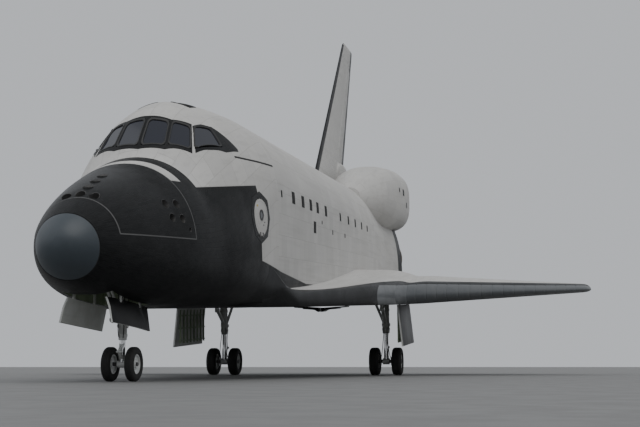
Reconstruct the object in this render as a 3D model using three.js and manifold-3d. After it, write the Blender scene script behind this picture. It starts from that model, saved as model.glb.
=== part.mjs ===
// A winged space shuttle orbiter, standing on its three landing gears with its wells open.
// Millimetres. The sizes below are in the craft's own axes: x runs aft from the nose tip, y to starboard and z up
// from the belly. The last lines lean the craft nose down, as it parks, and set it on the ground at z = 0.
import * as THREE from "three";
import { mergeVertices } from "three/addons/utils/BufferGeometryUtils.js";
import Module from "manifold-3d";

const wasm = await Module();
wasm.setup();

// Driving dimensions
const GAP = 0.3; // between touching solids
const PARKED_PITCH = THREE.MathUtils.degToRad(3.4); // nose down on its gear
const CABIN_AFT = 8788; // where the cabin bulkhead meets the payload bay
const BAY_AFT = 27076;
const BASE = 32817; // the flat base around the main engines
const HALF_WIDTH = 2591;
const HALF_SPAN = 11887;
const BAY_RADIUS = 2286;
const BAY_AXIS_Z = 3048;
const SILL_Z = 3480;
const DOOR_THICKNESS = 110;
const SKIN = 170; // cabin wall
const ELEVON_HINGE_X = 29235;
const ELEVONS = { // ends of each elevon, and of the room it turns in
  inboard: { ends: [3660, 7790], room: [3620, 7810] },
  outboard: { ends: [7870, 11680], room: [7850, 11720] },
};
const FLAP_HINGE = { x: 32870, z: 225, radius: 150, clearance: 0.8, halfWidth: 2960, chord: 2057 };
const FIN_ROOT_Z = 5588;
const FIN_TIP_Z = 13607;
const RUDDER_LOW = 7569;
const RUDDER_HIGH = 12700;
const SHAFT_RADIUS = 70;
const PIN_RADIUS = 45;
const MAIN_GEAR = { x: 24079, y: 3454, groundZ: -2892, tyreRadius: 565, tyreWidth: 406, halfSpacing: 464 };
const NOSE_GEAR = { x: 3560, y: 0, tyreRadius: 406, tyreWidth: 224, halfSpacing: 290 };
const MAIN_WELL = { x0: 20700, x1: 24400, y0: 2820, y1: 4420, depth: 800 };
const NOSE_WELL = { x0: 1500, x1: 3860, halfWidth: 590, top: 1000 };
const WHEEL_SIDES = 16;
const HATCH = { x: 7150, z: 2400, radius: 508 };
const UMBILICAL = { x0: 27500, size: 1120, y0: 1190, depth: 260, thickness: 50 };

// Finishes: colour, roughness, metalness
const FINISH = {
  blackTile: new THREE.MeshStandardMaterial({ color: 0x17181a, roughness: 0.75, metalness: 0 }),
  whiteTile: new THREE.MeshStandardMaterial({ color: 0xd9d8d2, roughness: 0.8, metalness: 0 }),
  greyEdge: new THREE.MeshStandardMaterial({ color: 0x55595d, roughness: 0.5, metalness: 0 }),
  glazing: new THREE.MeshStandardMaterial({ color: 0x11151c, roughness: 0.08, metalness: 0 }),
  structure: new THREE.MeshStandardMaterial({ color: 0x8d9295, roughness: 0.5, metalness: 0.6 }),
  nozzle: new THREE.MeshStandardMaterial({ color: 0x4b4744, roughness: 0.45, metalness: 0.8 }),
  gearPaint: new THREE.MeshStandardMaterial({ color: 0xc9cbc8, roughness: 0.4, metalness: 0.2 }),
  rubber: new THREE.MeshStandardMaterial({ color: 0x141414, roughness: 0.85, metalness: 0 }),
  fabric: new THREE.MeshStandardMaterial({ color: 0x3c4048, roughness: 0.9, metalness: 0 }),
};

// Solid helpers
const vec = (x, y, z) => new THREE.Vector3(x, y, z);

// A closed solid from any geometry whose faces close, turned to face outwards.
function solidOf(geometry) {
  const bare = geometry.index ? geometry.toNonIndexed() : geometry.clone();
  bare.deleteAttribute("normal");
  bare.deleteAttribute("uv");
  const merged = mergeVertices(bare, 1e-3);
  const triVerts = new Uint32Array(merged.index.array);
  const vertProperties = merged.attributes.position.array;
  const made = new wasm.Manifold(new wasm.Mesh({ numProp: 3, vertProperties, triVerts }));
  if (made.volume() > 0) return made;
  for (let i = 0; i < triVerts.length; i += 3) {
    [triVerts[i + 1], triVerts[i + 2]] = [triVerts[i + 2], triVerts[i + 1]];
  }
  return new wasm.Manifold(new wasm.Mesh({ numProp: 3, vertProperties, triVerts }));
}

function geometryOf(solid) {
  const { vertProperties, triVerts, numProp } = solid.getMesh();
  const geometry = new THREE.BufferGeometry();
  const position = new Float32Array((vertProperties.length / numProp) * 3);
  for (let i = 0; i < position.length; i++) position[i] = vertProperties[Math.floor(i / 3) * numProp + (i % 3)];
  geometry.setAttribute("position", new THREE.BufferAttribute(position, 3));
  geometry.setIndex(new THREE.BufferAttribute(new Uint32Array(triVerts), 1));
  geometry.computeVertexNormals();
  return geometry;
}

// Rings with one count of points each, joined in turn and closed at both ends from their middles.
function loft(rings) {
  const count = rings[0].length;
  const points = rings.flat();
  const faces = [];
  for (let i = 0; i + 1 < rings.length; i++) {
    for (let j = 0; j < count; j++) {
      const a = i * count + j;
      const b = i * count + ((j + 1) % count);
      const port = points[a].y + points[b].y < 0; // the two sides split their faces as mirror images
      if (port) faces.push(a, b, a + count, b, b + count, a + count);
      else faces.push(a, b, b + count, a, b + count, a + count);
    }
  }
  const middle = (ring) => ring.reduce((sum, p) => sum.add(p), vec(0, 0, 0)).divideScalar(count);
  const first = points.push(middle(rings[0])) - 1;
  const last = points.push(middle(rings.at(-1))) - 1;
  const start = (rings.length - 1) * count;
  for (let j = 0; j < count; j++) {
    const k = (j + 1) % count;
    faces.push(first, k, j, last, start + j, start + k);
  }
  return solidOf(new THREE.BufferGeometry().setFromPoints(points).setIndex(faces));
}

function box(x0, x1, y0, y1, z0, z1) {
  const block = new THREE.BoxGeometry(x1 - x0, y1 - y0, z1 - z0);
  return solidOf(block.translate((x0 + x1) / 2, (y0 + y1) / 2, (z0 + z1) / 2));
}

// A round bar or cone between two points.
function bar(from, to, radius, endRadius = radius, sides = 14) {
  const length = from.distanceTo(to);
  const geometry = new THREE.CylinderGeometry(endRadius, radius, length, sides).translate(0, length / 2, 0);
  const along = to.clone().sub(from).normalize();
  geometry.applyQuaternion(new THREE.Quaternion().setFromUnitVectors(vec(0, 1, 0), along));
  return solidOf(geometry.translate(from.x, from.y, from.z));
}

// A turned solid about the y axis, from [radius, y] pairs.
function turned(profile, sides) {
  return solidOf(new THREE.LatheGeometry(profile.map(([r, y]) => new THREE.Vector2(r, y)), sides));
}

// Sets a solid that is turned about y at a place, pointing along a direction.
function placed(solid, position, direction) {
  const turn = new THREE.Quaternion().setFromUnitVectors(vec(0, 1, 0), direction);
  return solid.transform(new THREE.Matrix4().compose(position, turn, vec(1, 1, 1)).toArray());
}

// Swings a solid, made closed, about a hinge line to where it stands.
function swung(solid, pivot, axis, degrees) {
  const turn = new THREE.Matrix4().makeRotationAxis(axis, THREE.MathUtils.degToRad(degrees));
  const home = new THREE.Matrix4().makeTranslation(pivot);
  const away = new THREE.Matrix4().makeTranslation(pivot.clone().negate());
  return solid.transform(home.multiply(turn).multiply(away).toArray());
}

const union = (...solids) => solids.reduce((sum, one) => sum.add(one));
const mirrored = (solid) => solid.mirror([0, 1, 0]);

// Smooth reading of one column of a table, with no overshoot, and with rows spaced by the given scale.
function reader(rows, column, scale = (x) => x) {
  const x = rows.map((row) => scale(row[0]));
  const y = rows.map((row) => row[column]);
  const slope = x.slice(1).map((_, i) => (y[i + 1] - y[i]) / (x[i + 1] - x[i]));
  const tangent = y.map((_, i) => {
    if (i === 0) return slope[0];
    if (i === y.length - 1) return slope.at(-1);
    const [a, b] = [slope[i - 1], slope[i]];
    return a * b <= 0 ? 0 : (2 * a * b) / (a + b);
  });
  return (at) => {
    const s = scale(at);
    let i = x.findIndex((value) => value > s) - 1;
    if (i === -2) i = x.length - 2;
    i = Math.max(0, i);
    const h = x[i + 1] - x[i];
    const t = Math.min(1, Math.max(0, (s - x[i]) / h));
    const t2 = t * t;
    const t3 = t2 * t;
    return (
      (2 * t3 - 3 * t2 + 1) * y[i] + (t3 - 2 * t2 + t) * h * tangent[i] +
      (3 * t2 - 2 * t3) * y[i + 1] + (t3 - t2) * h * tangent[i + 1]
    );
  };
}

// Fuselage cross-sections, each a pair of superellipse halves that meet at the widest height.
// station, half width, belly z, widest z, top z, lower power, upper power
const FUSELAGE = [
  [0, 0, 1450, 1450, 1450, 2.0, 2.0],
  [80, 330, 1130, 1450, 1745, 2.0, 2.0],
  [300, 600, 850, 1440, 2010, 2.05, 2.0],
  [700, 870, 590, 1425, 2290, 2.15, 2.0],
  [1600, 1270, 340, 1400, 2760, 2.4, 2.05],
  [2900, 1680, 175, 1410, 3270, 2.8, 2.1],
  [4150, 1990, 90, 1470, 3680, 3.4, 2.1],
  [4400, 2040, 80, 1490, 3770, 3.6, 2.05],
  [4900, 2140, 62, 1540, 4400, 3.9, 1.9],
  [5450, 2270, 45, 1650, 5000, 4.3, 1.86],
  [6100, 2390, 30, 1880, 5380, 5.0, 1.86],
  [6700, 2470, 20, 2150, 5540, 6.0, 1.9],
  [7900, 2570, 5, 2750, 5610, 8.0, 2.02],
  [8788, HALF_WIDTH, 0, BAY_AXIS_Z, 5588, 10, 2.1],
  [27076, HALF_WIDTH, 0, BAY_AXIS_Z, 5588, 10, 2.1],
  [29500, 2720, 0, 2400, 5500, 8, 2.2],
  [BASE, 3120, 60, 1000, 5300, 7, 2.6],
];
const [halfWidthAt, bellyAt, widestAt, topAt, lowPowerAt, topPowerAt] = [1, 2, 3, 4, 5, 6].map((column) =>
  reader(FUSELAGE, column, Math.sqrt),
);

// One fuselage ring, taken inwards by the inset.
function fuselageRing(x, inset = 0, count = 28) {
  const halfWidth = halfWidthAt(x) - inset;
  const [belly, widest, top] = [bellyAt(x) + inset, widestAt(x), topAt(x) - inset];
  return Array.from({ length: count }, (_, i) => {
    const angle = (2 * Math.PI * i) / count;
    const [c, s] = [Math.cos(angle), Math.sin(angle)];
    const power = s < 0 ? lowPowerAt(x) : topPowerAt(x);
    const y = halfWidth * Math.sign(c) * Math.abs(c) ** (2 / power);
    const z = widest + (s < 0 ? widest - belly : top - widest) * Math.sign(s) * Math.abs(s) ** (2 / power);
    return vec(x, y, z);
  });
}

// Height of the fuselage's upper surface over a point of the plan.
function roofAt(x, y) {
  const power = topPowerAt(x);
  const share = Math.min(1, Math.abs(y) / halfWidthAt(x));
  return widestAt(x) + (topAt(x) - widestAt(x)) * (1 - share ** power) ** (1 / power);
}

const fuselage = (stations, inset = 0) => loft(stations.map((x) => fuselageRing(x, inset)));
const NOSE_STATIONS = [6, 80, 220, 460, 800, 1200, 1800, 2900, 4150, 4400, 4900, 5450, 6100, 6700, 7900];

// Wing plan: the long glove runs into a leading edge swept 45 degrees, with the corner between them rounded.
const CRANK = { x: 19863, y: 4620, rounding: 520 };
const GLOVE_SLOPE = Math.tan(THREE.MathUtils.degToRad(81));
function leadingEdge(y) {
  const glove = CRANK.x + (y - CRANK.y) * GLOVE_SLOPE;
  const outer = CRANK.x + (y - CRANK.y);
  const [mean, half] = [(glove + outer) / 2, (glove - outer) / 2];
  return mean - Math.sqrt(half * half + CRANK.rounding * CRANK.rounding) + CRANK.rounding * 0.35;
}
const trailingEdge = (y) => 32095 - (y - 3632) * Math.tan(THREE.MathUtils.degToRad(10.056));
const wingFloor = (y) => Math.max(0, y - 4400) * 0.058;

// Thickness along the chord, share of chord then millimetres, at the root with its glove
const ROOT_THICKNESS = [
  [0, 430], [0.1, 520], [0.22, 640], [0.36, 860], [0.5, 1180], [0.63, 1430], [0.75, 1180], [0.845, 740], [1, 60],
];
// and outboard, share of chord then share of the greatest thickness
const OUTER_THICKNESS = [[0, 0.6], [0.12, 0.82], [0.25, 0.96], [0.38, 1], [0.55, 0.9], [0.75, 0.6], [1, 0.06]];
const rootThickness = reader(ROOT_THICKNESS, 1);
const outerThickness = reader(OUTER_THICKNESS, 1);

// Lower and upper surface heights of the wing at a point of its plan.
function wingSurfaces(x, y) {
  const front = leadingEdge(y);
  const chord = trailingEdge(y) - front;
  const outboard = THREE.MathUtils.smoothstep(y, 2900, 5600);
  const thickness = (share) =>
    (1 - outboard) * rootThickness(share) + outboard * outerThickness(share) * (0.098 * chord + 20);
  const nose = Math.min(620, 0.09 * chord);
  const roundness = Math.sqrt(1 - (1 - Math.min(1, (x - front) / nose)) ** 2);
  const edge = 0.42 * thickness(nose / chord);
  const low = wingFloor(y) + edge * (1 - roundness);
  const high = wingFloor(y) + edge + (thickness((x - front) / chord) - edge) * roundness;
  return { low, high };
}

// Wing ring at one span, from the leading edge over the top to the cut at the back and home underneath.
const WING_SHARES = [0, 0.006, 0.022, 0.06, 0.16, 0.32, 0.5, 0.68, 0.84, 1];
function wingRing(y, back) {
  const front = leadingEdge(y);
  const upper = WING_SHARES.map((share) => front + share * (back - front));
  const over = upper.map((x) => vec(x, y, wingSurfaces(x, y).high));
  const under = upper.slice(1).reverse().map((x) => vec(x, y, wingSurfaces(x, y).low));
  return [...over, ...under];
}

// The hinge line of an elevon runs straight between the middles of the wing's thickness at its ends.
function elevonHinge({ ends }, y) {
  const [a, b] = ends.map((end) => wingSurfaces(ELEVON_HINGE_X, end));
  const share = (y - ends[0]) / (ends[1] - ends[0]);
  const between = (from, to) => from + share * (to - from);
  const centre = vec(ELEVON_HINGE_X, y, between((a.low + a.high) / 2, (b.low + b.high) / 2));
  return { centre, radius: between((a.high - a.low) / 2, (b.high - b.low) / 2) };
}

function elevonPin(row, inside, wall) {
  const [from, end] = [inside, wall].map((y) => elevonHinge(row, y).centre);
  const slope = Math.abs(end.z - from.z) / Math.abs(end.y - from.y);
  const short = (GAP + slope * PIN_RADIUS) * Math.sign(wall - inside);
  return bar(from, elevonHinge(row, wall - short).centre, PIN_RADIUS, PIN_RADIUS, 12);
}

function elevon(row) {
  const { ends, room } = row;
  const rings = ends.map((y) => {
    const { centre, radius } = elevonHinge(row, y);
    const nose = [1, 2, 3, 4, 5, 6, 7].map((i) => {
      const angle = -Math.PI / 2 - (Math.PI * i) / 8;
      return vec(centre.x + radius * Math.cos(angle), y, centre.z + radius * Math.sin(angle));
    });
    const back = trailingEdge(y);
    return [
      vec(centre.x, y, centre.z + radius), vec(back, y, centre.z + 24), vec(back, y, centre.z - 24),
      vec(centre.x, y, centre.z - radius), ...nose,
    ];
  });
  return union(loft(rings), elevonPin(row, ends[0] + 60, room[0]), elevonPin(row, ends[1] - 60, room[1]));
}

// What the wing gives up for the elevons to turn in.
function elevonRoom(row) {
  const [a, b] = row.room.map((y) => elevonHinge(row, y));
  const lips = loft([a, b].map(({ centre, radius }) => [
    vec(centre.x - 0.4 * radius, centre.y, -1000), vec(centre.x + 4000, centre.y, -1000),
    vec(centre.x + 4000, centre.y, 2000), vec(centre.x - 0.4 * radius, centre.y, 2000),
  ]));
  return union(bar(a.centre, b.centre, a.radius + 18, b.radius + 18, 28).intersect(between(row.room)), lips);
}
const between = ([y0, y1]) => box(25000, 34000, y0, y1, -1000, 3000);

// Behind the pins there is nothing between the two elevons of one wing.
const elevonSplit = box(ELEVON_HINGE_X + 90, 34000, ELEVONS.inboard.ends[1], ELEVONS.outboard.ends[0], -500, 2500);

const WING_SPANS = [2300, 2850, 3500, 4000, 4350, 4620, 4900, 5400, 6600, 9000, 11500, 11800];
function wingWithEdge() {
  const rings = WING_SPANS.map((y) => wingRing(y, 30600 - Math.max(0, y - 4000) * 0.02));
  const middle = wingFloor(HALF_SPAN) + 120;
  const tip = wingRing(HALF_SPAN, 30300).map((p) => vec(p.x + (p.x < 28000 ? 220 : 0), p.y, middle + (p.z - middle) * 0.35));
  return loft([...rings, tip]);
}

// The carbon leading edge covers the wing's nose from inside the glove's corner to the tip.
function edgeRegion(inset) {
  const depth = (y) => (y < 5200 ? 430 + (5200 - y) * 0.12 : 430 - (y - 5200) * 0.02);
  const rings = [4150, 4500, 4800, 5200, 7000, 9500, 11500, 11800, 12100].map((y, i) => {
    const front = leadingEdge(y);
    const start = i === 0 ? 4150 + inset : y;
    return [vec(front - 900, start, -900), vec(front + depth(y) - inset, start, -900),
      vec(front + depth(y) - inset, start, 2500), vec(front - 900, start, 2500)];
  });
  return loft(rings);
}

// Fin: a wedge section that is thickest at the rudder's hinge line.
function finPlan(z) {
  const front = 26462 + (z - FIN_ROOT_Z);
  const back = 33282 + (z - FIN_ROOT_Z) * 0.4931;
  return { front, back, hinge: front + 0.6 * (back - front), half: 0.0315 * (back - front) };
}

function finBlade() {
  const ring = (z, shrink = 1) => {
    const { front, back, hinge, half } = finPlan(z);
    const h = half * shrink;
    const reach = (hinge - front) / 5;
    const side = [[0, 0.1], [60, 0.2], [reach, 0.5], [3 * reach, 0.88], [5 * reach, 1]];
    const port = side.map(([d, share]) => vec(front + d, -h * share, z));
    const starboard = side.map(([d, share]) => vec(front + d, h * share, z));
    return [...port, vec(back - 20, -25, z), vec(back - 20, 25, z), ...starboard.reverse()];
  };
  return loft([ring(5000), ring(FIN_ROOT_Z), ring(RUDDER_LOW), ring(RUDDER_HIGH), ring(13400), ring(FIN_TIP_Z, 0.5)]);
}

// The brake parachute's housing at the foot of the fin: station, half width, top
const CHUTE = [[30800, 120, 6100], [31500, 340, 6950], [32200, 430, 6950], [33000, 460, 6560], [33700, 440, 6200]];
function chuteHousing() {
  return loft(CHUTE.map(([x, w, top]) => [
    vec(x, -w, 5000), vec(x, w, 5000), vec(x, w, top - 330), vec(x, 0.75 * w, top - 90), vec(x, 0.3 * w, top),
    vec(x, -0.3 * w, top), vec(x, -0.75 * w, top - 90), vec(x, -w, top - 330),
  ]));
}

// The rudder turns about a line that leans aft, and its ends are square to that line.
const HINGE_LOW = vec(finPlan(RUDDER_LOW).hinge, 0, RUDDER_LOW);
const HINGE_HIGH = vec(finPlan(RUDDER_HIGH).hinge, 0, RUDDER_HIGH);
const HINGE_LENGTH = HINGE_LOW.distanceTo(HINGE_HIGH);
const HINGE_UP = HINGE_HIGH.clone().sub(HINGE_LOW).normalize();
const HINGE_AFT = vec(HINGE_UP.z, 0, -HINGE_UP.x);

// A point by its distance along the hinge line, aft of it and to starboard of it.
const byHinge = (s, aft, y) => HINGE_LOW.clone().addScaledVector(HINGE_UP, s).addScaledVector(HINGE_AFT, aft).setY(y);
function rudderSection(s) {
  const foot = byHinge(s, 0, 0);
  const { back, half } = finPlan(foot.z);
  return { half, chord: (back - foot.x) / (HINGE_AFT.x - 0.4931 * HINGE_AFT.z) };
}

// What the fin gives up for the rudder to turn in.
function rudderSpace() {
  const ends = [-25, HINGE_LENGTH + 25];
  const [low, high] = ends.map((s) => rudderSection(s).half);
  const round = bar(byHinge(ends[0], 0, 0), byHinge(ends[1], 0, 0), low + 16, high + 16, 28);
  const band = (s) => {
    const front = -0.95 * rudderSection(s).half;
    return [byHinge(s, front, -900), byHinge(s, 4000, -900), byHinge(s, 4000, 900), byHinge(s, front, 900)];
  };
  return union(round, loft(ends.map(band)));
}

// One half of the split rudder: flat on the centre plane, round in front, and clear of the shaft it hangs on.
function rudderPanel(side) {
  const ring = (s) => {
    const { half, chord } = rudderSection(s);
    const at = (radius, degrees) => {
      const angle = THREE.MathUtils.degToRad(degrees);
      return byHinge(s, radius * Math.cos(angle), side * Math.max(3, radius * Math.sin(angle)));
    };
    const bore = [126, 108, 90, 72, 54, 36, 18, 3].map((degrees) => at(SHAFT_RADIUS + 1.3, degrees));
    return [
      byHinge(s, chord, side * 3), byHinge(s, chord, side * 26), byHinge(s, 0, side * half), at(half, 104), at(half, 116),
      at(half, 126), ...bore,
    ];
  };
  return loft([ring(0), ring(HINGE_LENGTH)]);
}

// Manoeuvring pods on the shoulders of the aft fuselage.
// station, middle y, half width, middle z, half height, power
const POD = [
  [27130, 1500, 480, 4800, 420, 2.0],
  [27700, 1610, 1030, 4880, 960, 2.1],
  [28600, 1740, 1350, 4950, 1280, 2.3],
  [30000, 1910, 1440, 5010, 1460, 2.6],
  [32000, 2020, 1470, 5040, 1510, 2.8],
  [33400, 2020, 1450, 5030, 1480, 3.0],
];
function pod() {
  const rings = POD.map(([x, middle, halfWidth, height, halfHeight, power]) =>
    Array.from({ length: 24 }, (_, i) => {
      const angle = (2 * Math.PI * i) / 24;
      const [c, s] = [Math.cos(angle), Math.sin(angle)];
      return vec(
        x, middle + halfWidth * Math.sign(c) * Math.abs(c) ** (2 / power),
        height + halfHeight * Math.sign(s) * Math.abs(s) ** (2 / power),
      );
    }),
  );
  const thrusterBox = loft([
    [vec(32600, 2500, 4200), vec(32600, 3400, 4250), vec(32600, 3400, 5350), vec(32600, 2500, 5350)],
    [vec(33950, 2700, 4300), vec(33950, 3380, 4350), vec(33950, 3380, 5200), vec(33950, 2700, 5200)],
  ]);
  return union(loft(rings), thrusterBox);
}

// Rocket nozzles, open at the back, with a plain block for the machinery in front. They point along +y.
function engineOuter({ block, blockLength, throat, exit, length }, grow, front = grow) {
  const bell = [0, 0.12, 0.3, 0.6, 1].map((t) => [throat + (exit - throat) * t ** 0.62 + grow, blockLength + length * t]);
  return [[0, -front], [block * 0.45 + grow, -front], [block + grow, blockLength * 0.35], [block + grow, blockLength - 60],
    [throat + 60 + grow, blockLength], ...bell];
}

function engine(sizes, sides) {
  const outer = engineOuter(sizes, 0);
  const inner = outer.slice(6).map(([r, y]) => [r - sizes.wall, y]).reverse();
  return turned([...outer, ...inner, [0, sizes.blockLength + sizes.length * 0.1]], sides);
}

// The room that an engine keeps round itself, closed at the back, and seated at its front.
function engineRoomOf(sizes, grow, front, sides) {
  const outer = engineOuter(sizes, grow, front);
  return turned([...outer.slice(0, 5), ...outer.slice(6), [0, sizes.blockLength + sizes.length]], sides);
}
const MAIN_ENGINE = { block: 690, blockLength: 1300, throat: 420, exit: 1195, length: 2950, wall: 40 };
const POD_ENGINE_AT = vec(33180, 2235, 5385);
const POD_ENGINE = { block: 200, blockLength: 180, throat: 210, exit: 548, length: 1050, wall: 16 };
// name, gimbal x, y, z, degrees up, degrees to starboard
const ENGINES = [
  ["upper_main_engine", 30709, 0, 4140, 16, 0],
  ["left_main_engine", 31297, -1346, 1591, 10, -3.5],
  ["right_main_engine", 31297, 1346, 1591, 10, 3.5],
];
function aim(up, out) {
  const [a, b] = [THREE.MathUtils.degToRad(up), THREE.MathUtils.degToRad(out)];
  return vec(Math.cos(a) * Math.cos(b), Math.cos(a) * Math.sin(b), Math.sin(a));
}

// The room round an engine's bell, from a distance before or after its gimbal.
function bellSpace([, x, y, z, up, out], start, radius, endRadius = radius) {
  const direction = aim(up, out);
  const from = vec(x, y, z).addScaledVector(direction, start);
  return bar(from, vec(x, y, z).addScaledVector(direction, 4600), radius, endRadius, 24);
}

// Aft fuselage: hollow round the engines, open at the base and joined forward through a lightening hole.
function aftFuselage() {
  const skin = fuselage(AFT_STATIONS);
  const engineRoom = fuselage([30700, 31700, BASE - 220], 230);
  const forwardRoom = fuselage([27500, 28300, 29500, 30400], 260).intersect(box(27500, 30400, -3000, 3000, 600, 6000));
  const hole = bar(vec(30300, 0, 2500), vec(30800, 0, 2500), 900);
  const bores = ENGINES.map((row) => bellSpace(row, 700, 880));
  const posts = ENGINES.map(([, x, y, z, up, out]) => {
    const direction = aim(up, out);
    return bar(vec(30500, y * 0.9, z - (x - 30500) * 0.2), vec(x, y, z).addScaledVector(direction, -GAP), 330, 300);
  });
  const flapRadius = (FLAP_HINGE.radius + FLAP_HINGE.clearance) / Math.cos(Math.PI / 24);
  const flapCove = bar(vec(FLAP_HINGE.x, -3300, FLAP_HINGE.z), vec(FLAP_HINGE.x, 3300, FLAP_HINGE.z), flapRadius, flapRadius, 24);
  const wells = [-1, 1].map((side) => umbilicalBox(side, 0, UMBILICAL.depth));
  const hollow = skin.subtract(union(engineRoom, forwardRoom, hole, ...bores, flapCove));
  const bells = ENGINES.map((row) => bellSpace(row, -GAP, 760));
  const trays = [-1, 1].map((side) => umbilicalBox(side, 120, UMBILICAL.depth + 120).intersect(skin));
  return union(hollow, ...posts, ...trays).subtract(union(...bells, ...wells));
}

function umbilicalBox(side, grow, depth) {
  const [near, far] = [UMBILICAL.y0 - grow, UMBILICAL.y0 + UMBILICAL.size + grow];
  const [y0, y1] = side > 0 ? [near, far] : [-far, -near];
  return box(UMBILICAL.x0 - grow, UMBILICAL.x0 + UMBILICAL.size + grow, y0, y1, -200, depth);
}

// The lid of the starboard umbilical well, cut from the skin it closes and swung inboard on its hinge barrel.
const LID_HINGE = { y: UMBILICAL.y0 - 10, z: -26, open: -176 };
function umbilicalLid() {
  const { x0, size, thickness } = UMBILICAL;
  const whole = fuselage(AFT_STATIONS);
  const closed = whole.subtract(fuselage(AFT_STATIONS, thickness)).intersect(umbilicalBox(1, -6, 1200));
  const { y, z } = LID_HINGE;
  const seat = whole.intersect(box(x0, x0 + size, y - 1, y + 1, -100, 100)).boundingBox().min[2];
  const barrel = bar(vec(x0 + 150, y, z), vec(x0 + size - 150, y, z), seat - z - GAP, seat - z - GAP, 16);
  const strap = box(x0 + 200, x0 + 400, y, y + 50, z - 12, 0);
  const root = box(x0 + 200, x0 + 400, y + 18, y + 50, z - 12, 40);
  return union(swung(union(closed, strap, root), vec(x0, y, z), vec(1, 0, 0), LID_HINGE.open), barrel);
}

// Windows, as corners in plan, x then y, that project straight on to the roof
const WINDSHIELD = [
  [[4680, 45], [4770, 640], [5350, 570], [5300, 45]],
  [[4810, 710], [5060, 1230], [5610, 1050], [5400, 640]],
  [[5150, 1300], [6130, 1740], [6240, 1390], [5700, 1100]],
];
const OVERHEAD = [[[6500, 200], [6500, 740], [7060, 740], [7060, 200]]];

function windowCutter(corners, side, inset = 0) {
  const points = corners.map(([x, y]) => vec(x, side * y, roofAt(x, y)));
  const normal = points[2].clone().sub(points[0]).cross(points[3].clone().sub(points[1])).normalize();
  if (normal.z < 0) normal.negate();
  const middle = points.reduce((sum, p) => sum.add(p), vec(0, 0, 0)).divideScalar(4);
  const shrunk = points.map((p) => p.clone().sub(middle).setLength(p.distanceTo(middle) - inset).add(middle));
  return loft([-420, 260].map((reach) => shrunk.map((p) => p.clone().addScaledVector(normal, reach))));
}

// A band of pane behind a set of window holes: the shell between two insets of the fuselage.
function glazing(windows, x0, x1, y, z0) {
  const shell = fuselage([4150, 4400, 4900, 5450, 6100, 6700, 7900], 95).subtract(
    fuselage([4150, 4400, 4900, 5450, 6100, 6700, 7900], 135));
  return shell.intersect(box(x0, x1, -y, y, z0, 6000));
}
const windshield = () => glazing(WINDSHIELD, 4560, 6340, 1900, 3640);
const overhead = () => glazing(OVERHEAD, 6400, 7150, 900, 4900);

// Forward fuselage and what is let into it.
const capRegion = (grow) => box(-100, 400 + grow, -2000, 2000, -500, 4000);
const moduleRegion = (grow) => box(960 - grow, 3560 + grow, -2500, 2500, 1640 - grow, 5000);
const cabinRoom = (inset) => fuselage([3900, 4150, 4400, 4900, 5450, 6100, 6700, 7900, 8560], inset);
function hatchPlug(radius) {
  return bar(vec(HATCH.x, -3200, HATCH.z), vec(HATCH.x, -1700, HATCH.z), radius, radius, 32);
}

function forwardFuselage(outer) {
  const room = cabinRoom(SKIN).intersect(box(3900, 8560, -3000, 3000, 1150, 6000));
  const noseWell = box(NOSE_WELL.x0, NOSE_WELL.x1, -NOSE_WELL.halfWidth, NOSE_WELL.halfWidth, -500, NOSE_WELL.top);
  const cutters = [];
  for (const side of [-1, 1]) {
    for (const corners of [...WINDSHIELD, ...OVERHEAD]) cutters.push(windowCutter(corners, side));
  }
  const seats = union(
    fuselage([4150, 4400, 4900, 5450, 6100, 6700, 7900], 95 - GAP).subtract(
      fuselage([4150, 4400, 4900, 5450, 6100, 6700, 7900], SKIN + 5)).intersect(
      union(box(4560 - GAP, 6340 + GAP, -1900 - GAP, 1900 + GAP, 3640 - GAP, 6000),
        box(6400 - GAP, 7150 + GAP, -900 - GAP, 900 + GAP, 4900 - GAP, 6000))));
  const pad = box(3880, 4120, -130, 130, 60, 600);
  return union(outer, pad.intersect(box(3000, 5000, -500, 500, 78, 600)))
    .subtract(union(room, noseWell, capRegion(GAP), moduleRegion(GAP), hatchPlug(HATCH.radius), seats, ...cutters));
}

// The crew hatch, with the two knuckles of its hinge on the skin below it.
const HATCH_AXIS_Z = HATCH.z - HATCH.radius - 4;
const KNUCKLE = { radius: 16, ends: [[-150, -70], [70, 150]] };
function hatchHinge(outer) {
  const skinAt = (x) => outer.intersect(box(x - 1, x + 1, -4000, 0, HATCH_AXIS_Z - 20, HATCH_AXIS_Z + 20)).boundingBox().min[1];
  const [fore, aft] = [HATCH.x - 150, HATCH.x + 150].map((x) => vec(x, skinAt(x) - KNUCKLE.radius - GAP, HATCH_AXIS_Z));
  return { fore, direction: aft.sub(fore).normalize() };
}

function crewHatch(outer) {
  const { fore, direction } = hatchHinge(outer);
  const at = (along) => fore.clone().addScaledVector(direction, along + 150);
  const knuckles = KNUCKLE.ends.map(([a, b]) => {
    const outside = Math.min(at(a).y, at(b).y);
    const strap = box(HATCH.x + a, HATCH.x + b, outside - 10, outside + 8, HATCH_AXIS_Z, HATCH_AXIS_Z + 110);
    const root = box(HATCH.x + a, HATCH.x + b, outside - 10, outside + 60, HATCH_AXIS_Z + 60, HATCH_AXIS_Z + 110);
    return union(bar(at(a), at(b), KNUCKLE.radius, KNUCKLE.radius, 16), strap, root);
  });
  const shell = outer.subtract(fuselage([5450, 6100, 6700, 7900, CABIN_AFT], 110)).intersect(hatchPlug(HATCH.radius - 10));
  return union(shell, ...knuckles);
}

function flightDeck() {
  const inside = cabinRoom(SKIN + GAP);
  const floor = box(4700, 8559, -3000, 3000, 3020, 3090);
  const panel = box(4760, 5060, -3000, 3000, 3080, 3850);
  const centre = box(5000, 6000, -260, 260, 3080, 3480);
  return union(floor, panel, centre).intersect(inside);
}

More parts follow.
